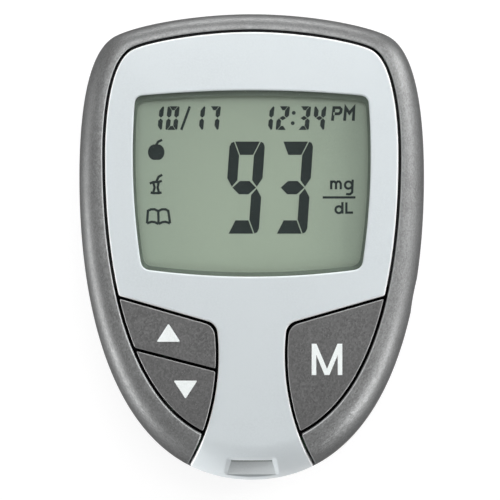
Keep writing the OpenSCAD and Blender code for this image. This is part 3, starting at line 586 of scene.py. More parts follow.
def moulded(name, base, shade, rough, size, bump, edge=None, gloss=0.5):
    """A moulded or cast surface: clouds of two near tones, and a fine grain in tone, gloss and relief.

    Rounded edges take a tone of their own; the white on the face's edges is a painted highlight."""
    material, tree, place = new_material(name)
    flow = grain(tree, place, FLOW, detail=3.0)
    fine = grain(tree, place, size)
    share = add(tree, "ShaderNodeMath", {0: flow, 1: fine}, operation="MULTIPLY")
    body = add(tree, "ShaderNodeMix", {
        0: share, 6: srgb(base), 7: srgb(shade)}, data_type="RGBA").outputs[2]
    relief = add(tree, "ShaderNodeBump", {"Height": fine, "Distance": bump * MM})
    shader = add(tree, "ShaderNodeBsdfPrincipled", {
        "Base Color": with_edges(tree, body, edge or base), "Normal": relief,
        "Specular IOR Level": gloss,
        "Roughness": grain(tree, place, size * 3, rough - 0.05, rough + 0.05)})
    add(tree, "ShaderNodeOutputMaterial", {"Surface": shader})
    return material


def plated(name, base, shade, rough, stretch):
    """Plated sheet metal: the fine lines of its rolling or turning under a thin bright layer."""
    material, tree, place = new_material(name, stretch)
    lines = grain(tree, place, 0.3, detail=4.0)
    colour = add(tree, "ShaderNodeMix", {
        0: lines, 6: srgb(base), 7: srgb(shade)}, data_type="RGBA").outputs[2]
    relief = add(tree, "ShaderNodeBump", {"Height": lines, "Distance": 0.002 * MM})
    shader = add(tree, "ShaderNodeBsdfPrincipled", {
        "Base Color": colour, "Metallic": 1.0, "Normal": relief,
        "Roughness": grain(tree, place, 0.8, rough - 0.06, rough + 0.06)})
    add(tree, "ShaderNodeOutputMaterial", {"Surface": shader})
    return material


def coated_acrylic():
    """Clear cast acrylic with a hard coat: what is behind it shows, and its face mirrors a little."""
    material, tree, place = new_material("hard_coated_acrylic")
    mirror = add(tree, "ShaderNodeBsdfPrincipled", {
        "Base Color": srgb("#eef2f2"), "Roughness": grain(tree, place, 4.0, 0.06, 0.1)})
    mirrored_share = add(tree, "ShaderNodeFresnel", {"IOR": 1.22})
    inside = add(tree, "ShaderNodeNewGeometry").outputs["Backfacing"]
    outside = add(tree, "ShaderNodeMath", {0: 1.0, 1: inside}, operation="SUBTRACT")
    share = add(tree, "ShaderNodeMath", {0: mirrored_share, 1: outside}, operation="MULTIPLY")
    clear = add(tree, "ShaderNodeBsdfTransparent", {"Color": srgb("#fbfdfc")})
    mix = add(tree, "ShaderNodeMixShader", {0: share, 1: clear, 2: mirror})
    add(tree, "ShaderNodeOutputMaterial", {"Surface": mix})
    return material


def polariser_film():
    """Grey-green polariser over a reflective liquid crystal cell.

    It is silky, shows the fine grain of the silver film behind the cell, and is painted a shade darker at
    both sides: painted shade where less light gets in under the window's edge."""
    material, tree, place = new_material("polariser_film")
    across = add(tree, "ShaderNodeSeparateXYZ", {0: place}).outputs["X"]
    aside = add(tree, "ShaderNodeMath", {0: across}, operation="ABSOLUTE")
    # painted shade: the film's colour darkens towards both sides of the opening
    side = add(tree, "ShaderNodeMapRange", {
        "Value": aside, "From Min": VIEW_HALF * MM, "From Max": 0.3 * VIEW_HALF * MM})
    spots = grain(tree, place, 0.3, -0.3, 0.3)
    share = add(tree, "ShaderNodeMath", {0: side, 1: spots}, operation="ADD")
    colour = add(tree, "ShaderNodeMix", {
        0: share, 6: srgb("#98a293"), 7: srgb("#a2ac9b")}, data_type="RGBA").outputs[2]
    shader = add(tree, "ShaderNodeBsdfPrincipled", {
        "Base Color": colour, "Specular IOR Level": 0.3,
        "Roughness": grain(tree, place, 2.0, 0.38, 0.46)})
    add(tree, "ShaderNodeOutputMaterial", {"Surface": shader})
    return material


# Every finish by the record's slot, and below them the finishes of single pieces
FINISHES = {
    # Metallic paint of the bezel: satin mid grey, with its flakes just showing and paler edges that are a
    # painted highlight
    "bezel_paint": flake_paint("metallic_grey_paint", "#575757", "#6d6e6e", "#929494", 0.08, 0.46),
    # Satin ABS from a polished mould: cool, pale and nearly even, with a soft shine; its white edges are
    # a painted highlight
    "face_plastic": moulded("satin_pale_abs", "#d3dadd", "#cdd4d7", 0.4, 0.3, 0.002, "#ffffff",
                            gloss=0.28),
    # Spark-eroded ABS: dry, finely pitted dark grey that greys a little on its corners
    "back_shell": moulded("spark_eroded_abs", "#4a4b4d", "#3f4042", 0.62, 0.22, 0.03, "#5f6163"),
    # Black ABS in the seams and inside: deep and dull
    "black_plastic": moulded("black_abs", "#08080a", "#0f0f11", 0.65, 0.3, 0.004, gloss=0.1),
    # Hard-coated acrylic of the window: clear, with a faint mirror
    "window_acrylic": coated_acrylic(),
    # Closed-cell foam: no shine, pitted by its small cells
    "foam": moulded("closed_cell_foam", "#1c1c1d", "#101011", 0.9, 0.25, 0.08, gloss=0.1),
    # Polariser over the display: silky grey-green, with painted shade at both sides
    "display_film": polariser_film(),
    # Ground edge of the cell's thin glass: a faint green
    "display_glass": moulded("ground_cell_glass", "#8f9b8c", "#a5b2a3", 0.15, 1.5, 0.001),
    # Silvered diffusing film behind the cell: a silky grain
    "reflector": moulded("diffusing_silver_film", "#aab2a6", "#bcc4b8", 0.35, 0.2, 0.004),
    # White nylon of the display holder: even and chalky
    "white_plastic": moulded("white_nylon", "#e9e9e4", "#dfdfd9", 0.5, 0.4, 0.003),
    # Layered conductive rubber: fine stripes of carbon in silicone blur to a dull tan
    "zebra_rubber": moulded("layered_conductive_rubber", "#c79a83", "#55443e", 0.7, 0.15, 0.004),
    # Glass-fibre laminate under green solder mask: glossy, with its weave just showing
    "board_laminate": moulded("solder_masked_laminate", "#0e5a2c", "#14693a", 0.28, 0.5, 0.008),
    # Epoxy of the chips: flat black with a slight sparkle
    "chip_resin": moulded("chip_epoxy", "#1b1b1d", "#262629", 0.6, 0.12, 0.008),
    # Fired ceramic of the capacitors: smooth tan
    "ceramic": moulded("fired_ceramic", "#a67f56", "#94704a", 0.35, 0.3, 0.002),
    # Glass-filled orange plastic of the strip port: its short fibres show as mottling
    "port_plastic": moulded("glass_filled_plastic", "#c46a1f", "#a85717", 0.45, 0.35, 0.01),
    # Moulded silicone of the key mat and its domes: soft, dull dark grey
    "silicone": moulded("moulded_silicone", "#3c3c3f", "#333336", 0.55, 0.3, 0.004),
    # Carbon-loaded rubber of the pills: dead matt black
    "carbon": moulded("carbon_rubber", "#141414", "#0c0c0c", 0.85, 0.15, 0.006, gloss=0.2),
    # Nickel-plated steel of the cells, contacts and screws: bright, with fine lines along the sheet
    "steel": plated("nickel_plated_steel", "#d2d2d0", "#bdbdbc", 0.27, (1, 0.06, 1)),
    # Gold-plated phosphor bronze springs of the strip port: warm and bright
    "gold_plate": plated("gold_plated_bronze", "#e8c268", "#d9b052", 0.22, (1, 0.06, 1)),

    # The same ABS inside the strip port, where the mould isn't polished: drier, a shade less blue, and
    # painted lighter than the face: painted light that makes up for the shade in the recess
    "recess_painted_lighter": moulded("dry_abs_painted_lighter", "#e5e9ea", "#d9dedf", 0.6, 0.25, 0.01, gloss=0.2),
    # The keys' coat of the same paint, painted darker than the bezel's: painted shade; its pale edges are
    # a painted highlight
    "shaded_key_paint": flake_paint("metallic_key_paint", "#474747", "#535353", "#808080", 0.07, 0.44),
    # Pad-printed white ink on the keys: opaque, flat, with a faint tooth
    "legend_ink": moulded("pad_printed_white_ink", "#f4f9f8", "#e8eeed", 0.55, 0.2, 0.003),
    # Painted shade: an olive grey band inside the window that stands in for the shade of the opening's
    # walls, dulled by the acrylic over it
    "window_painted_shade": moulded("painted_window_shade_band", "#6b7368", "#61695f", 0.6, 0.3, 0.0, gloss=0.2),
    # Liquid crystal turned dark between its electrodes: an even greenish black, slightly uneven in tone
    "liquid_crystal": moulded("darkened_liquid_crystal", "#1c2424", "#273030", 0.5, 0.4, 0.0,
                              gloss=0.1),
}

for part in frame["record"]["subparts"]:
    for place in NODES[part["node"]].material_slots:
        place.material = FINISHES[part["material_slot"]]


# ---------------------------------------------------------------- meshes

def in_batches(points):
    """The points in short lists, which saves memory."""
    return np.array_split(points, len(points) // 2000 + 1)


def inside_any(points, loops, even_odd=False):
    """Which points lie inside the loops: by crossings counted together, or inside any one of them."""
    found = np.zeros(len(points), int)
    for loop in loops:
        a, b = loop, np.roll(loop, -1, axis=0)
        rise = np.where(np.abs(b[:, 1] - a[:, 1]) < 1e-12, 1e-12, b[:, 1] - a[:, 1])
        crossings = []
        for part in in_batches(points):
            x, y = part[:, :1], part[:, 1:]
            spans = (a[:, 1] > y) != (b[:, 1] > y)
            at = a[:, 0] + (y - a[:, 1]) / rise * (b[:, 0] - a[:, 0])
            crossings.append((spans & (x < at)).sum(1))
        crossings = np.concatenate(crossings)
        found = found + crossings if even_odd else np.maximum(found, crossings % 2)
    return found % 2 == 1


def distance(points, line):
    """Distance from each point to the nearest point of a line."""
    return np.concatenate([length(part[:, None] - line[None]).min(1) for part in in_batches(points)])


def fill(loops, seeds=(), even_odd=False):
    """Triangles that fill the loops, and their points; new points come after the given ones."""
    given = np.vstack([*loops, *([seeds] if len(seeds) else [])])
    edges, start = [], 0
    for loop in loops:
        n = len(loop)
        edges += [(start + i, start + (i + 1) % n) for i in range(n)]
        start += n
    points, _, faces, origins, _, _ = delaunay_2d_cdt([Vector(p) for p in given], edges, [], 0, 1e-5)
    points = np.array([list(p) for p in points])
    number = {}
    extra = []
    for i, origin in enumerate(origins):
        if len(origin):
            number[i] = origin[0]
        else:
            number[i] = len(given) + len(extra)
            extra.append(points[i])
    faces = np.array([[number[v] for v in f] for f in faces])
    everything = np.vstack([given, extra]) if extra else given
    corners = everything[faces]
    cross = np.cross(corners[:, 1] - corners[:, 0], corners[:, 2] - corners[:, 0])
    faces[cross < 0] = faces[cross < 0][:, ::-1]
    keep = inside_any(corners.mean(1), loops, even_odd) & (np.abs(cross) > 1e-9)
    return everything, faces[keep]


def put(name, data):
    """A new object in the scene."""
    thing = bpy.data.objects.new(name, data)
    bpy.context.scene.collection.objects.link(thing)
    return thing


def mesh_object(name, points, faces, body, slot, normals=None, edge=None, finish=None, replaces=()):
    """A finished piece: its place is in its mesh, and it rides a body.

    Edge says how far each point lies on a rounded edge, for the materials."""
    mesh = bpy.data.meshes.new(name)
    mesh.from_pydata((np.asarray(points) * MM).tolist(), [], [list(map(int, f)) for f in faces])
    mesh.validate()
    mesh.polygons.foreach_set("use_smooth", [normals is not None] * len(mesh.polygons))
    if normals is not None:
        mesh.normals_split_custom_set_from_vertices(np.asarray(normals).tolist())
    if edge is not None:
        mesh.attributes.new("edge", "FLOAT", "POINT").data.foreach_set("value", edge)
    mesh.materials.append(FINISHES[finish or slot])
    piece = put(name, mesh)
    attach(piece, body)
    if replaces:
        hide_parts(*replaces)
    return piece


def strips(rows):
    """Faces between closed rows of point numbers, each row as long as the others."""
    faces = []
    for upper, lower in zip(rows[:-1], rows[1:]):
        for i in range(len(upper)):
            k = (i + 1) % len(upper)
            faces += [(upper[i], lower[i], lower[k]), (upper[i], lower[k], upper[k])]
    return faces


def inward(loop):
    """Directions into the material at each point of a loop that has it on the left."""
    before = left_of(loop - np.roll(loop, 1, axis=0))
    after = left_of(np.roll(loop, -1, axis=0) - loop)
    both = before + after
    both /= np.maximum(length(both), 1e-9)[:, None]
    return both / np.maximum((both * before).sum(1), 0.4)[:, None]


def seed_grid(loops, gap):
    """Evenly spread points inside the loops, clear of their edges."""
    low, high = np.min(np.vstack(loops), axis=0), np.max(np.vstack(loops), axis=0)
    x, y = np.meshgrid(np.arange(low[0], high[0], gap), np.arange(low[1], high[1], gap * 0.866))
    x[1::2] += gap / 2
    points = np.column_stack([x.ravel(), y.ravel()])
    points = points[inside_any(points, loops, even_odd=True)]
    return points[distance(points, np.vstack(loops)) > gap * 0.45]


def plate(name, skin, loops, depth, body, slot, up=0.0, gap=0.9, edges=(EDGE,), tones=(1.0,),
          slopes=(0.0,), seeds=None, **rest_of):
    """A closed piece of a skin's shape inside flat loops, with rounded edges and a thickness.

    The outer loop runs counter-clockwise and holes clockwise, as flat coordinates; up raises the piece.
    Each loop has its edge's rounding, also one for each point, and how far the edge takes its own tone.
    A loop with a slope has a flat bevel of that slope in place of the rounding."""
    edges, tones, slopes = (values * len(loops) if len(values) == 1 else values
                            for values in (edges, tones, slopes))
    places, normals, edge_of, rows_of, inner = [], [], [], [], []

    def row(at, facing, share=0.0):
        """The numbers of one more row of points, which face a way and take a share of the edge's tone."""
        places.append(at)
        normals.append(facing)
        edge_of.extend([share] * len(at))
        return list(range(len(edge_of) - len(at), len(edge_of)))

    for loop, edge, tone, slope in zip(loops, edges, tones, slopes):
        edge = np.broadcast_to(edge, len(loop))
        n = inward(loop) * edge[:, None]
        inwards = skin.point(loop + n) - skin.point(loop)
        outwards = -inwards / np.maximum(length(inwards), 1e-9)[:, None]
        rows = []
        for k in range(EDGE_STEPS + 1):
            turn = math.pi / 2 * (1 - k / EDGE_STEPS)
            across, drop, lean = 1 - math.cos(turn), 1 - math.sin(turn), math.pi / 2 - turn
            if slope:
                across, drop = 1 - k / EDGE_STEPS, slope * k / EDGE_STEPS
                lean = math.atan(slope) * min(1.0, k)
            at = loop + n * across
            rows.append(row(skin.point(at, edge * drop - up),
                            math.cos(lean) * skin.normal(at) + math.sin(lean) * outwards,
                            tone * math.sqrt(math.cos(turn))))
        rows.append(row(skin.point(loop, depth - up), outwards))
        rows.append(row(skin.point(loop + n, depth - up), -skin.normal(loop)))
        rows_of.append(rows)
        inner.append(loop + n)
    if seeds is None:
        seeds = seed_grid(inner, gap)
    flat, triangles = fill(inner, seeds, even_odd=True)
    top = [number for rows in rows_of for number in rows[0]]
    low = [number for rows in rows_of for number in rows[-1]]
    more = flat[len(top):]
    if len(more):
        square = skin.normal(more)
        top += row(skin.point(more, -up), square)
        low += row(skin.point(more, depth - up), -square)
    faces = [tuple(top[v] for v in f) for f in triangles]
    faces += [tuple(low[v] for v in f[::-1]) for f in triangles]
    for rows in rows_of:
        faces += strips(rows)
    if skin.side < 0:
        faces = [f[::-1] for f in faces]
    points = np.clip(np.vstack(places), CASE_LOW, CASE_HIGH)
    normals = np.vstack(normals)
    normals /= np.maximum(length(normals), 1e-9)[:, None]
    return mesh_object(name, points, faces, body, slot, normals, edge_of, **rest_of)


def level(z):
    """A height that is the same over all plan points."""
    return lambda plan: np.full(len(plan), z)


def slab(loops, top, low, even_odd=False):
    """Points and faces of all that lies inside the loops, between two heights over plan points."""
    plan, faces = fill(loops, even_odd=even_odd)
    n = len(plan)
    points = np.vstack([np.column_stack([plan, top(plan)]), np.column_stack([plan, low(plan)])])
    sides = dict.fromkeys((f[i], f[(i + 1) % 3]) for f in faces for i in range(3))
    walls = []
    for a, b in sides:
        if (b, a) not in sides:
            walls += [(a, a + n, b + n), (a, b + n, b)]
    return points, [tuple(f) for f in faces] + [tuple(v + n for v in f[::-1]) for f in faces] + walls


def flat_piece(name, loops, top, thick, body, slot, even_odd=False, **rest_of):
    """A thin closed piece under a surface: all that lies inside any of the loops, or between them."""
    points, faces = slab(loops, top, lambda plan: top(plan) - thick, even_odd)
    return mesh_object(name, points, faces, body, slot, **rest_of)


# ---------------------------------------------------------------- case and face

JACK_Y = CHIN_Y + 30.5      # middle of the data jack's opening, on the right side
JACK_Z = 10.5
JACK_R = 2.5


def side_point(skin, y, z):
    """Flat point on the right side of a rim, at a place along the meter and a height."""
    lean = lean_at(skin, z)
    row_at = lambda turn: along_ring(lambda q: skin.reach(q, lean), turn, turn, 0)[0]
    turn = last_that(lambda turn: row_at(turn)[1] > y, 40.0, 140.0)
    return skin.row(lean, turn, turn, 0)[0]


def jack_arc(skin):
    """The jack's round opening where it cuts a skin, from its lower end to its upper end."""
    dip = math.degrees(math.asin((JACK_Z - PARTING) / JACK_R))
    last, hold = (-dip, max) if skin.side > 0 else (360 - dip, min)
    turns = [math.radians(turn) for turn in np.linspace(180 + dip, last, 33)]
    return np.array([side_point(skin, JACK_Y + JACK_R * math.cos(turn),
                                hold(PARTING, JACK_Z + JACK_R * math.sin(turn))) for turn in turns])


def parting_edge(skin, start, end):
    """The skin's edge at the parting plane, counter-clockwise, round the jack's opening."""
    cut = jack_arc(skin)
    return np.vstack([skin.row(90, start, turn_of(cut[0]), 90)[:-1], cut,
                      skin.row(90, turn_of(cut[-1]), end, 420)[1:]])


def rim_seeds(skin, loop):
    """Points in even rows on a rim, inside a loop and clear of it."""
    points = np.vstack([skin.row(lean, 0, 360, 300)[:-1] for lean in np.linspace(6, 84, 9)])
    points = points[inside_any(points, [loop])]
    return points[distance(points, loop) > 0.45]


def bezel_shell():
    """The bezel around the face, open where the leg runs down to the chin."""
    _, down = leg_side(KEY_GAP)
    up = down[::-1]
    seam_run = along_ring(seam, turn_of(up[-1]) - 360, turn_of(mirrored(up)[0]), 560)
    outline = join([parting_edge(front, turn_of(mirrored(up)[-1]), turn_of(up[0]) - 360), up, seam_run,
                    mirrored(up)], SHELL_CORNER, SEAM_CORNER, SEAM_CORNER, SHELL_CORNER)
    return plate("bezel_shell", bezel_skin, [outline], BEZEL_T, "case", "bezel_paint",
                 seeds=rim_seeds(front, outline), replaces=("bezel",))


def faceplate_shell():
    """The pale face and its leg, with the display opening and the strip port's recess."""
    inner, down = leg_side(0)
    start = clip(inner[:len(inner) // 2], in_ring(face_ring))
    left = np.vstack([start, inner[len(inner) // 2:], down[1:]])
    top = along_ring(face_ring, turn_of(left[0] * [-1, 1]), turn_of(left[0]) - 360, 520)
    chin = front.row(90, turn_of(left[-1]), turn_of(left[-1] * [-1, 1]), 24)
    outline = join([top, left, chin, mirrored(left)], SHELL_CORNER)
    lip = lean_at(front, PORT_FLOOR)
    end, side = recess_sides(lip)
    side = front.unroll(side)
    lip_row = front.row(lip, turn_of(side[-1] * [-1, 1]), turn_of(side[-1]), 20)
    recess = join([lip_row, side[::-1], end[::-1], mirrored(side[::-1])], 0.3, 0.2, 0.2, 0.3)[::-1]
    lip_y = recess[:, 1].min()
    bevel = np.interp(recess[:, 1], [lip_y + PORT_LIP[0], lip_y + PORT_LIP[1], PORT_Y], PORT_BEVELS)
    # the white tone on the face's edges, and a little of it on the opening's, is a painted highlight
    return plate("faceplate_shell", front, [outline, view_outline()[::-1], recess], FACE_T, "case",
                 "face_plastic", edges=(EDGE, VIEW_EDGE, bevel), tones=(1.0, 0.1, 0.0),
                 slopes=(0.0, 0.0, PORT_SLOPE), replaces=("faceplate",))


def on_face(raise_by=0.0):
    """Height of the face over plan points."""
    return lambda plan: front.point(front.unroll(plan))[:, 2] + raise_by


def port_recess():
    """The floor and the walls of the strip port's recess, with the slot along its inner end."""
    wall, half = PORT_WALL, PORT_END_W / 2
    _, side = recess_sides(lean_at(front, PORT_FLOOR) - 3)
    tip, foot, back_y = side[-1], PORT_Y - PORT_SLIT, PORT_Y + wall
    floor = [(-half - wall, foot), (-tip[0] - wall, tip[1]), (tip[0] + wall, tip[1]),
             (half + wall, foot)]
    right = np.array([[half, back_y], tip, tip + [wall, 0], [half + wall, back_y]])
    inner = [(-half, PORT_Y), (half, PORT_Y), (half, back_y), (-half, back_y)]
    under_edge = lambda plan: np.maximum(on_face(-PORT_WALL_TOP)(plan), PORT_FLOOR - 0.1)
    below = PORT_FLOOR - PORT_FLOOR_T
    points, faces = [], []
    for loop, top, low in ((floor, level(PORT_FLOOR), below), (right, under_edge, below),
                           (mirrored(right), under_edge, below),
                           (inner, under_edge, PORT_FLOOR + SLOT_H)):
        sides = [evenly(np.array(ends), 0.5) for ends in zip(loop, np.roll(loop, -1, axis=0))]
        part, part_faces = slab([join(sides, 0)], top, level(low))
        faces += [[v + len(points) for v in f] for f in part_faces]
        points += list(part)
    # its finish is painted lighter than the face: painted light against the recess's shade
    return mesh_object("port_recess", points, faces, "case", "face_plastic", finish="recess_painted_lighter")


def window_lens():
    """The clear window over the display."""
    return plate("window_lens", front, [view_outline(-FIT)], WINDOW_T, "case", "window_acrylic",
                 up=-WINDOW_DROP, gap=1.6, edges=(WINDOW_EDGE,), replaces=("display_window",))


def window_shade_band():
    """A band of painted shade under the window's edge, a little deeper at the top, where the top edge's
    shadow falls.
    """
    border = view_outline(-SHADE_BAND_W)
    border[:, 1] = VIEW_MIDDLE - SHADE_BAND_LOW + SHADE_BAND_SHARE * (border[:, 1] - VIEW_MIDDLE)
    # painted shade: a dark sheet laid under the window's edge
    return flat_piece("window_shade_band", [view_outline(), border],
                      on_face(-WINDOW_DROP - WINDOW_T - SHADE_BAND_GAP), SHADE_BAND_T, "case", "black_plastic",
                      even_odd=True, finish="window_painted_shade")


def key_cap(part):
    """The cap of the up, down or memory key."""
    # the caps' finish is the bezel's paint painted darker: painted shade
    return plate(part + "_key_cap", front, [key_outline(part)], KEY_T, part + "_key", "bezel_paint",
                 up=KEY_PROUD, edges=(KEY_EDGE,), finish="shaded_key_paint", replaces=(part + "_key",))


bezel_shell()
faceplate_shell()
port_recess()
window_lens()
window_shade_band()
for part in ("up", "down", "memory"):
    key_cap(part)


# ---------------------------------------------------------------- back of the case

DOOR_HALF = 21.5            # half the width of the battery door
DOOR_Y = 0.8                # its inner end
DOOR_Z = 0.15               # it lies this far off the rest face
DOOR_T = 1.45
DOOR_RUN = 0.3              # gap around it
DOOR_TOP_RUN = 0.2          # and over its rounded top end
DOOR_CORNER = 0.9
DOOR_EDGE = 0.3
DOOR_GAP_EDGE = 0.25        # and of its opening in the cover
GRIP_Y = DOOR_Y + 9.95      # middle of the thumb grip
GRIP_HALF = np.array([7.0, 6.0])
GRIP_CORNER = 2.6
GRIP_EDGE = 0.25
GRIP_LAP = 0.3              # the grip's floor reaches this far under the door
GRIP_DEPTH = 0.6
GRIP_T = 0.6
RIBS = 5
RIB_PITCH = 2.1
RIB_W = 11.6
RIB_R = 0.5
RIB_SUNK = 0.08             # the ribs' middle lies this far under the grip's floor
WELL_R = 2.2                # well of the chin's screw
WELL_Y = CHIN_Y + 23
WELL_Z = 7.4
WELL_T = 0.8
WELL_EDGE = 0.3
SCREW_HOLE_R = 1.2


def door_outline(grow, top_z):
    """Flat outline of the battery door or of its opening, up to a height of the rounded top end."""
    half, low = DOOR_HALF + grow, DOOR_Y - grow
    lean = lean_at(back, top_z)
    side = clip(evenly(np.array([[half, low], [half, TOP_Y]]), 0.4), in_row(back, lean))
    side = back.unroll(side)
    inner_end = evenly(np.array([[-half, low], [half, low]]), 0.8)
    top = back.row(lean, turn_of(side[-1]), turn_of(side[-1] * [-1, 1]) - 360, 90)
    return join([inner_end, side, top, mirrored(side)], DOOR_CORNER, 0.5, 0.5, DOOR_CORNER)


def rounded_box(middle, half, corner):
    """A rectangle with round corners, counter-clockwise."""
    low, high = np.array(middle) - half, np.array(middle) + half
    corners = [low, [high[0], low[1]], high, [low[0], high[1]]]
    return join([evenly(np.array([corners[i - 1], corners[i]]), 0.5) for i in (1, 2, 3, 0)], corner)


def back_shell():
    """The back cover, open for the battery door, the chin's screw and the jack."""
    edge = parting_edge(back, 180, -180)[:-1]
    opening = door_outline(DOOR_RUN, DOOR_Z + DOOR_T + DOOR_TOP_RUN)[::-1]
    well = arc([0, WELL_Y], WELL_R, 0, 360, 48)[:-1][::-1]
    return plate("back_shell", back, [edge, opening, well], WALL, "case", "back_shell",
                 edges=(EDGE, DOOR_GAP_EDGE, WELL_EDGE), replaces=("back_cover",))


def door_shell():
    """The battery door, open at its thumb grip."""
    grip = rounded_box([0, GRIP_Y], GRIP_HALF, GRIP_CORNER)[::-1]
    return plate("door_shell", back, [door_outline(0, DOOR_Z + DOOR_T), grip], DOOR_T - 0.1,
                 "battery_door", "back_shell", up=-DOOR_Z, edges=(DOOR_EDGE, GRIP_EDGE),
                 replaces=("battery_door",))


def grip_floor():
    """The sunk floor of the thumb grip."""
    outline = rounded_box([0, GRIP_Y], GRIP_HALF + GRIP_LAP, GRIP_CORNER + GRIP_LAP)
    return plate("grip_floor", back, [outline], GRIP_T, "battery_door", "back_shell",
                 up=-DOOR_Z - GRIP_DEPTH, edges=(0.05,))


def screw_well():
    """The tube that the chin's screw stands in, turned from its section of (reach, height)."""
    steps, foot, wall, roof = 64, 0.9, WELL_R + WELL_T, WELL_Z + 1
    section = [(WELL_R, foot), (wall, foot), (wall, roof), (SCREW_HOLE_R, roof), (SCREW_HOLE_R, WELL_Z),
               (WELL_R, WELL_Z)]
    turn = np.linspace(0, 2 * math.pi, steps + 1)[:-1]
    around = np.stack([np.cos(turn), np.sin(turn)], 1)
    points = np.vstack([np.column_stack([r * around + [0, WELL_Y], np.full(steps, h)])
                        for r, h in section])
    rows = [list(range(i * steps, (i + 1) * steps)) for i in range(len(section))]
    return mesh_object("screw_well", points, strips(rows + rows[:1]), "case", "back_shell")


def ribs_tree():
    """Geometry nodes for parallel ribs: a round bar, repeated along a line.

    A bar keeps its thickness for most of its length and closes over its last millimetre at both ends."""
    tree = bpy.data.node_groups.new("grip_ribs", "GeometryNodeTree")
    for name, kind in (("Ribs", "Int"), ("Pitch", "Float"), ("Width", "Float"), ("Radius", "Float"),
                       ("Middle", "Vector"), ("Finish", "Material")):
        tree.interface.new_socket(name, in_out="INPUT", socket_type="NodeSocket" + kind)
    tree.interface.new_socket("Geometry", in_out="OUTPUT", socket_type="NodeSocketGeometry")
    given = add(tree, "NodeGroupInput").outputs
    half = add(tree, "ShaderNodeMath", {0: given["Width"], 1: 0.5}, operation="MULTIPLY")
    other = add(tree, "ShaderNodeMath", {0: half, 1: -1.0}, operation="MULTIPLY")
    line = add(tree, "GeometryNodeCurvePrimitiveLine", {
        "Start": add(tree, "ShaderNodeCombineXYZ", {"X": other}),
        "End": add(tree, "ShaderNodeCombineXYZ", {"X": half})})
    line = add(tree, "GeometryNodeResampleCurve", {"Curve": line, "Count": 33})
    along = add(tree, "GeometryNodeSplineParameter").outputs["Factor"]
    side = add(tree, "ShaderNodeMath", {0: along, 1: 2.0, 2: -1.0}, operation="MULTIPLY_ADD")
    side = add(tree, "ShaderNodeMath", {0: side}, operation="ABSOLUTE")
    steep = add(tree, "ShaderNodeMath", {0: side, 1: 14.0}, operation="POWER")
    rest_of = add(tree, "ShaderNodeMath", {0: 1.02, 1: steep}, operation="SUBTRACT")
    taper = add(tree, "ShaderNodeMath", {0: rest_of, 1: 0.5}, operation="POWER")
    round_bar = add(tree, "GeometryNodeCurvePrimitiveCircle", {
        "Resolution": 20, "Radius": given["Radius"]})
    bar = add(tree, "GeometryNodeCurveToMesh", {
        "Curve": line, "Profile Curve": round_bar, "Scale": taper, "Fill Caps": True})
    step = add(tree, "ShaderNodeCombineXYZ", {"Y": given["Pitch"]})
    gaps = add(tree, "ShaderNodeMath", {0: given["Ribs"], 1: 1.0}, operation="SUBTRACT")
    span = add(tree, "ShaderNodeMath", {0: gaps, 1: given["Pitch"]}, operation="MULTIPLY")
    back_by = add(tree, "ShaderNodeMath", {0: span, 1: -0.5}, operation="MULTIPLY")
    first = add(tree, "ShaderNodeCombineXYZ", {"Y": back_by})
    start = add(tree, "ShaderNodeVectorMath", {0: given["Middle"], 1: first}, operation="ADD")
    row = add(tree, "GeometryNodeMeshLine", {
        "Count": given["Ribs"], "Start Location": start, "Offset": step})
    ribs = add(tree, "GeometryNodeInstanceOnPoints", {
        "Points": row, "Instance": bar})
    solid = add(tree, "GeometryNodeRealizeInstances", {"Geometry": ribs})
    smooth = add(tree, "GeometryNodeSetShadeSmooth", {"Geometry": solid})
    dressed = add(tree, "GeometryNodeSetMaterial", {
        "Geometry": smooth, "Material": given["Finish"]})
    add(tree, "NodeGroupOutput", {"Geometry": dressed})
    return tree


def grip_ribs():
    """The ribs in the door's thumb grip."""
    tree = ribs_tree()
    maker = put("rib_maker", bpy.data.meshes.new("rib_maker"))
    modifier = maker.modifiers.new("ribs", "NODES")
    modifier.node_group = tree
    sizes = {"Ribs": RIBS, "Pitch": RIB_PITCH * MM, "Width": RIB_W * MM, "Radius": RIB_R * MM,
             "Middle": Vector((0, GRIP_Y, DOOR_Z + GRIP_DEPTH + RIB_SUNK)) * MM,
             "Finish": FINISHES["back_shell"]}
    for item in tree.interface.items_tree:
        if item.name in sizes:
            modifier[item.identifier] = sizes[item.name]
    bpy.context.view_layer.update()
    evaluated = maker.evaluated_get(bpy.context.evaluated_depsgraph_get())
    mesh = bpy.data.meshes.new_from_object(evaluated)
    bpy.data.objects.remove(maker)
    mesh.name = "grip_ribs"
    piece = put("grip_ribs", mesh)
    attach(piece, "battery_door")
    return piece


back_shell()
door_shell()
grip_floor()
grip_ribs()
screw_well()


# ---------------------------------------------------------------- display and legends

GLASS_Z = node_box("front_polariser")[1][2]
SEGMENT_T = 0.02            # drawn as a film just over the polariser
SEGMENT_GAP = 0.005
INK_T = 0.05
INK_PROUD = 0.02
PEN = 0.4                   # line width of the marks beside the reading
UNIT_PEN = 0.38
WORD_PEN = 0.48
SLASH_PEN = 0.42
LARGE = dict(base=2.19, width=5.83, height=15.18, rail=1.7, bar=2.2, gap=0.17, slant=0.071)
SMALL = dict(base=19.29, width=1.97, height=3.9, rail=0.74, bar=0.66, gap=0.07, slant=0.104)
LARGE_PITCH = 7.95
SMALL_PITCH = 2.54
LETTER_LOW, LETTER_TOP = -21.08, -15.93
LETTER_PEN = 0.75

# Which bars of a seven-bar digit are on: a is the top, g the middle, and b to f run clockwise
BARS = {"0": "abcdef", "1": "bc", "2": "abdeg", "3": "abcdg", "4": "bcfg", "7": "abc", "9": "abcdfg"}


def stroke(points, width):
    """Outline of a pen line through points."""
    points = np.array(points, float)
    before = np.vstack([points[1:2] - points[:1], np.diff(points, axis=0)])
    after = np.vstack([np.diff(points, axis=0), points[-1:] - points[-2:-1]])
    both = left_of(before) + left_of(after)
    both /= length(both)[:, None]
    both /= np.maximum((both * left_of(before)).sum(1), 0.35)[:, None]
    return np.vstack([points - both * width / 2, (points + both * width / 2)[::-1]])


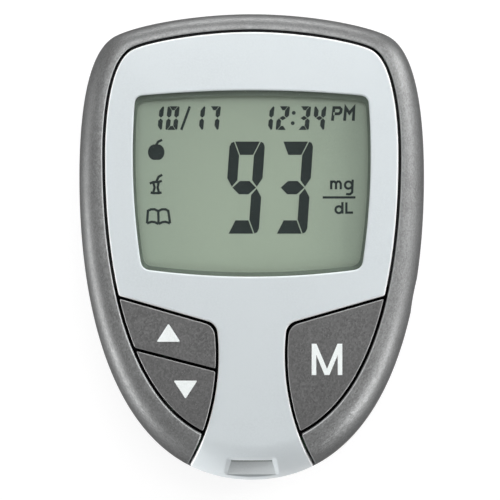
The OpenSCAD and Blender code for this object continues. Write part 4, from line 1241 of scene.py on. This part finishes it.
def digit(symbol, left, base, width, height, rail, bar, gap, slant):
    """Outlines of the lit bars of a digit that leans over by a slant.

    The rails are the upright bars. The gaps between bars come on top of the size."""
    width, height, rail, bar = width + gap, height + gap, rail + gap, bar + gap
    left, base = left - gap / 2, base - gap / 2
    middle, tip, half = height / 2, 0.5 * rail, bar / 2
    cut, drop = 0.14 * width, 0.06 * height
    top = [(cut, height), (rail, height - bar), (width - rail, height - bar), (width - cut, height)]
    riser = [(0, middle + 0.1 * height), (tip, middle), (rail, middle + half), (rail, height - bar),
             (cut, height), (0.35 * cut, height - 0.25 * drop), (0, height - drop)]
    inset = rail + 0.05 * width
    centre = [(tip, middle), (inset, middle - half), (width - inset, middle - half),
              (width - tip, middle), (width - inset, middle + half), (inset, middle + half)]
    across = lambda shape: [(width - x, y) for x, y in shape[::-1]]
    upside = lambda shape: [(x, height - y) for x, y in shape[::-1]]
    shapes = {"a": top, "b": across(riser), "c": upside(across(riser)), "d": upside(top),
              "e": upside(riser), "f": riser, "g": centre}
    out = []
    for name in BARS[symbol]:
        shape = np.array(shapes[name])
        shape = shape + inward(shape) * gap / 2
        shape[:, 0] += left + shape[:, 1] * slant
        shape[:, 1] += base
        out.append(shape)
    return out


def figures(text, left, pitch, **sizes):
    """Outlines of a row of digits."""
    return [bar for i, symbol in enumerate(text) for bar in digit(symbol, left + pitch * i, **sizes)]


def date_and_time():
    """The small figures along the top, with the slash, the colon and the half of the day."""
    loops = []
    for text, left in (("10", -16.78), ("17", -9.98), ("12", 1.40), ("34", 7.42)):
        loops += figures(text, left, SMALL_PITCH, **SMALL)
    loops.append(stroke([(-11.6, 19.3), (-10.2, 23.15)], SLASH_PEN))
    loops += [arc((6.93, 22.1), 0.32, 0, 345, 20), arc((6.76, 20.4), 0.32, 0, 345, 20)]
    lines = [[(13.3, 20.8), (13.55, 22.95), (14.5, 22.95), (14.75, 22.68), (14.68, 22.2),
              (14.35, 21.95), (13.45, 21.95)],
             [(15.3, 20.8), (15.5, 22.95), (16.1, 22.05), (16.85, 22.95), (16.75, 20.8)]]
    return loops + [stroke(line, WORD_PEN) for line in lines]


def units():
    """The unit of the reading, written as a fraction."""
    lines = [[(13.1, 9.5), (13.1, 10.95)], [(13.9, 9.5), (13.9, 10.7)], [(14.68, 9.5), (14.68, 10.55)],
             [(13.1, 10.5), (13.35, 10.78), (13.65, 10.78), (13.9, 10.5)],
             [(13.9, 10.5), (14.15, 10.78), (14.45, 10.78), (14.68, 10.5)],
             arc((15.95, 10.2), 0.58, 0, 350, 30),
             [(16.65, 11.1), (16.55, 9.0), (16.2, 8.68), (15.55, 8.72)], [(11.7, 8.17), (17.1, 8.17)],
             arc((14.37, 6.15), 0.55, 0, 350, 30), [(14.95, 5.5), (14.95, 7.4)],
             [(15.6, 7.35), (15.6, 5.66), (16.7, 5.66)]]
    return [stroke(line, UNIT_PEN) for line in lines]


def meal_marks():
    """The marks beside the reading: a fruit, what is left of one, and an open book."""
    lobe = arc((0.26, 0), 1.1, -78, 78, 14) * [1, 1.18]
    fruit = np.vstack([lobe, mirrored(lobe)]) + [-15.73, 15.62]
    lines = [[(-15.75, 16.8), (-15.4, 17.35), (-14.75, 17.65)],
             [(-16.8, 10.45), (-16.2, 10.7), (-15.4, 10.7), (-14.8, 10.9)],
             [(-16.65, 8.98), (-16.2, 8.88), (-15.3, 8.88), (-14.85, 8.98)],
             [(-16.2, 10.6), (-16.0, 9.8), (-16.2, 9.0)], [(-15.35, 10.6), (-15.5, 9.8), (-15.3, 9.0)],
             [(-15.7, 10.8), (-15.35, 11.55), (-14.75, 11.9)],
             [(-15.4, 5.9), (-16.0, 6.2), (-16.6, 6.2), (-17.1, 5.95), (-17.25, 3.9)],
             [(-17.25, 3.9), (-16.5, 4.15), (-16.0, 4.1), (-15.35, 3.8)],
             [(-15.4, 5.9), (-14.8, 6.2), (-14.2, 6.2), (-13.75, 5.95), (-13.45, 3.9)],
             [(-15.35, 3.8), (-14.7, 4.1), (-14.2, 4.15), (-13.45, 3.9)],
             [(-15.4, 5.95), (-15.35, 3.75)]]
    return [fruit] + [stroke(line, PEN) for line in lines]


def lit_segments():
    """All that the display shows."""
    loops = figures("93", -4.69, LARGE_PITCH, **LARGE) + date_and_time() + units() + meal_marks()
    return flat_piece("lit_segments", loops, level(GLASS_Z + SEGMENT_T + SEGMENT_GAP), SEGMENT_T,
                      "case", "display_film", finish="liquid_crystal")


def triangle(*corners):
    """A triangle with slightly soft corners."""
    sides = [np.array([corners[i], corners[(i + 1) % 3]], float) for i in range(3)]
    return join([evenly(side, 0.4) for side in sides], 0.3)


def memory_letter():
    """The memory key's letter: two stems, and the strokes that meet between them."""
    stems = [[(10.25, LETTER_LOW), (10.25, LETTER_TOP)], [(14.54, LETTER_TOP), (14.54, LETTER_LOW)]]
    vee = [(9.875, LETTER_TOP), (12.0, LETTER_LOW), (12.79, LETTER_LOW), (14.915, LETTER_TOP),
           (14.13, LETTER_TOP), (12.395, -20.05), (10.66, LETTER_TOP)]
    return [stroke(stem, LETTER_PEN) for stem in stems] + [np.array(vee)]


def key_legend(part, loops):
    """The white print on a key."""
    return flat_piece(part + "_legend", loops, on_face(KEY_PROUD + INK_PROUD), INK_T, part + "_key",
                      "white_plastic", finish="legend_ink")


lit_segments()
key_legend("up", [triangle((-15.65, -15.6), (-11.75, -15.6), (-13.7, -12.6))])
key_legend("down", [triangle((-12.85, -22.0), (-10.9, -25.0), (-8.95, -22.0))])
key_legend("memory", memory_letter())


# ---------------------------------------------------------------- camera, light and floor

SENSOR = 36.0
VIEW_WIDTH = 82.7           # of the picture, in millimetres on the meter's widest plane
CAMERA_PLACE = Vector((-0.28, -0.5, 2600.0))
LAMP_REACH = 650.0          # the lamps stand this far from the meter

eye = bpy.data.cameras.new("camera")
eye.lens = SENSOR * (CAMERA_PLACE.z - PARTING) / VIEW_WIDTH
eye.clip_start = 0.01
eye.clip_end = 20
camera = put("camera", eye)
camera.location = CAMERA_PLACE * MM
bpy.context.scene.camera = camera


def softbox(name, turn, rise, width, height, power, gloss_only=False):
    """A soft lamp aimed at the meter: turn is counter-clockwise from +X, rise is above the floor.

    One for gloss only shapes the shine of the rim and leaves the light on the face as it is."""
    lamp = bpy.data.lights.new(name, "AREA")
    lamp.shape = "RECTANGLE"
    lamp.size, lamp.size_y = width * MM, height * MM
    lamp.energy = power
    turn, rise = math.radians(turn), math.radians(rise)
    way = Vector((math.cos(turn) * math.cos(rise), math.sin(turn) * math.cos(rise), math.sin(rise)))
    holder = put(name, lamp)
    holder.location = way * LAMP_REACH * MM
    holder.rotation_euler = way.to_track_quat("Z", "Y").to_euler()
    holder.visible_camera = False
    holder.visible_diffuse = not gloss_only


softbox("main_softbox", 96, 71, 330, 260, 0.75)
softbox("top_reflector", 114, 67, 280, 260, 1.85, gloss_only=True)
softbox("top_strip", 90, 11, 330, 190, 2.35)
softbox("right_softbox", 25, 21, 250, 400, 2.6)
softbox("right_reflector", 18, 42, 280, 200, 1.3, gloss_only=True)
softbox("upper_right_reflector", 15, 64, 260, 200, 0.55, gloss_only=True)
softbox("lower_right_reflector", -30, 18, 260, 200, 2.9, gloss_only=True)
softbox("left_strip", 200, 3, 440, 70, 3.3)

AMBIENT = 0.49              # the studio's light on the meter, from the sides
AMBIENT_LEAN = 0.15         # share by which it is fuller from the top end and weaker from the chin
FLOOR_GLOW = 1.28
GLOW_SHARE = (0.3, 0.64)    # of the floor's white that glows: for light on the meter, and as seen
FLOOR_HALF = 3.0            # in metres


def seen(tree):
    """One for the rays that show the background: from the camera, mirrored, or through glass."""
    ray = add(tree, "ShaderNodeLightPath")
    direct = add(tree, "ShaderNodeMath", {
        0: ray.outputs["Is Camera Ray"], 1: ray.outputs["Is Glossy Ray"]}, operation="MAXIMUM")
    return add(tree, "ShaderNodeMath", {
        0: direct, 1: ray.outputs["Is Transmission Ray"]}, operation="MAXIMUM")


def white_studio():
    """Soft light all round, fuller from the top end, behind a white background."""
    world = bpy.data.worlds.new("white_studio")
    world.use_nodes = True
    tree = world.node_tree
    tree.nodes.clear()
    way = add(tree, "ShaderNodeTexCoord").outputs["Object"]
    along = add(tree, "ShaderNodeSeparateXYZ", {0: way}).outputs["Y"]
    light = add(tree, "ShaderNodeMapRange", {
        "Value": along, "From Min": -1.0, "From Max": 1.0, "To Min": AMBIENT * (1 - AMBIENT_LEAN),
        "To Max": AMBIENT * (1 + AMBIENT_LEAN)})
    strength = add(tree, "ShaderNodeMapRange", {
        "Value": seen(tree), "To Min": light, "To Max": 1.0})
    sky = add(tree, "ShaderNodeBackground", {"Color": (1, 1, 1, 1), "Strength": strength})
    add(tree, "ShaderNodeOutputWorld", {"Surface": sky})
    bpy.context.scene.world = world


def white_floor():
    """Matt white paper that keeps the meter's shadow, and lets a camera below it see through.

    A share of its white glows, which makes it a plain white ground around the shadow."""
    material, tree, _ = new_material("white_paper_floor")
    paper = add(tree, "ShaderNodeBsdfDiffuse", {"Color": srgb("#ececec")})
    glow = add(tree, "ShaderNodeEmission", {"Color": (1, 1, 1, 1), "Strength": FLOOR_GLOW})
    share = add(tree, "ShaderNodeMapRange", {
        "Value": seen(tree), "To Min": GLOW_SHARE[0], "To Max": GLOW_SHARE[1]})
    lit = add(tree, "ShaderNodeMixShader", {0: share, 1: paper, 2: glow})
    below = add(tree, "ShaderNodeNewGeometry").outputs["Backfacing"]
    clear = add(tree, "ShaderNodeBsdfTransparent", {"Color": (1, 1, 1, 1)})
    top = add(tree, "ShaderNodeMixShader", {0: below, 1: lit, 2: clear})
    add(tree, "ShaderNodeOutputMaterial", {"Surface": top})
    mesh = bpy.data.meshes.new("floor")
    corners = [(x * FLOOR_HALF, y * FLOOR_HALF, 0) for x, y in ((-1, -1), (1, -1), (1, 1), (-1, 1))]
    mesh.from_pydata(corners, [], [(0, 1, 2, 3)])
    mesh.materials.append(material)
    put("floor", mesh)


white_studio()
white_floor()
bpy.context.scene.view_settings.view_transform = "Standard"
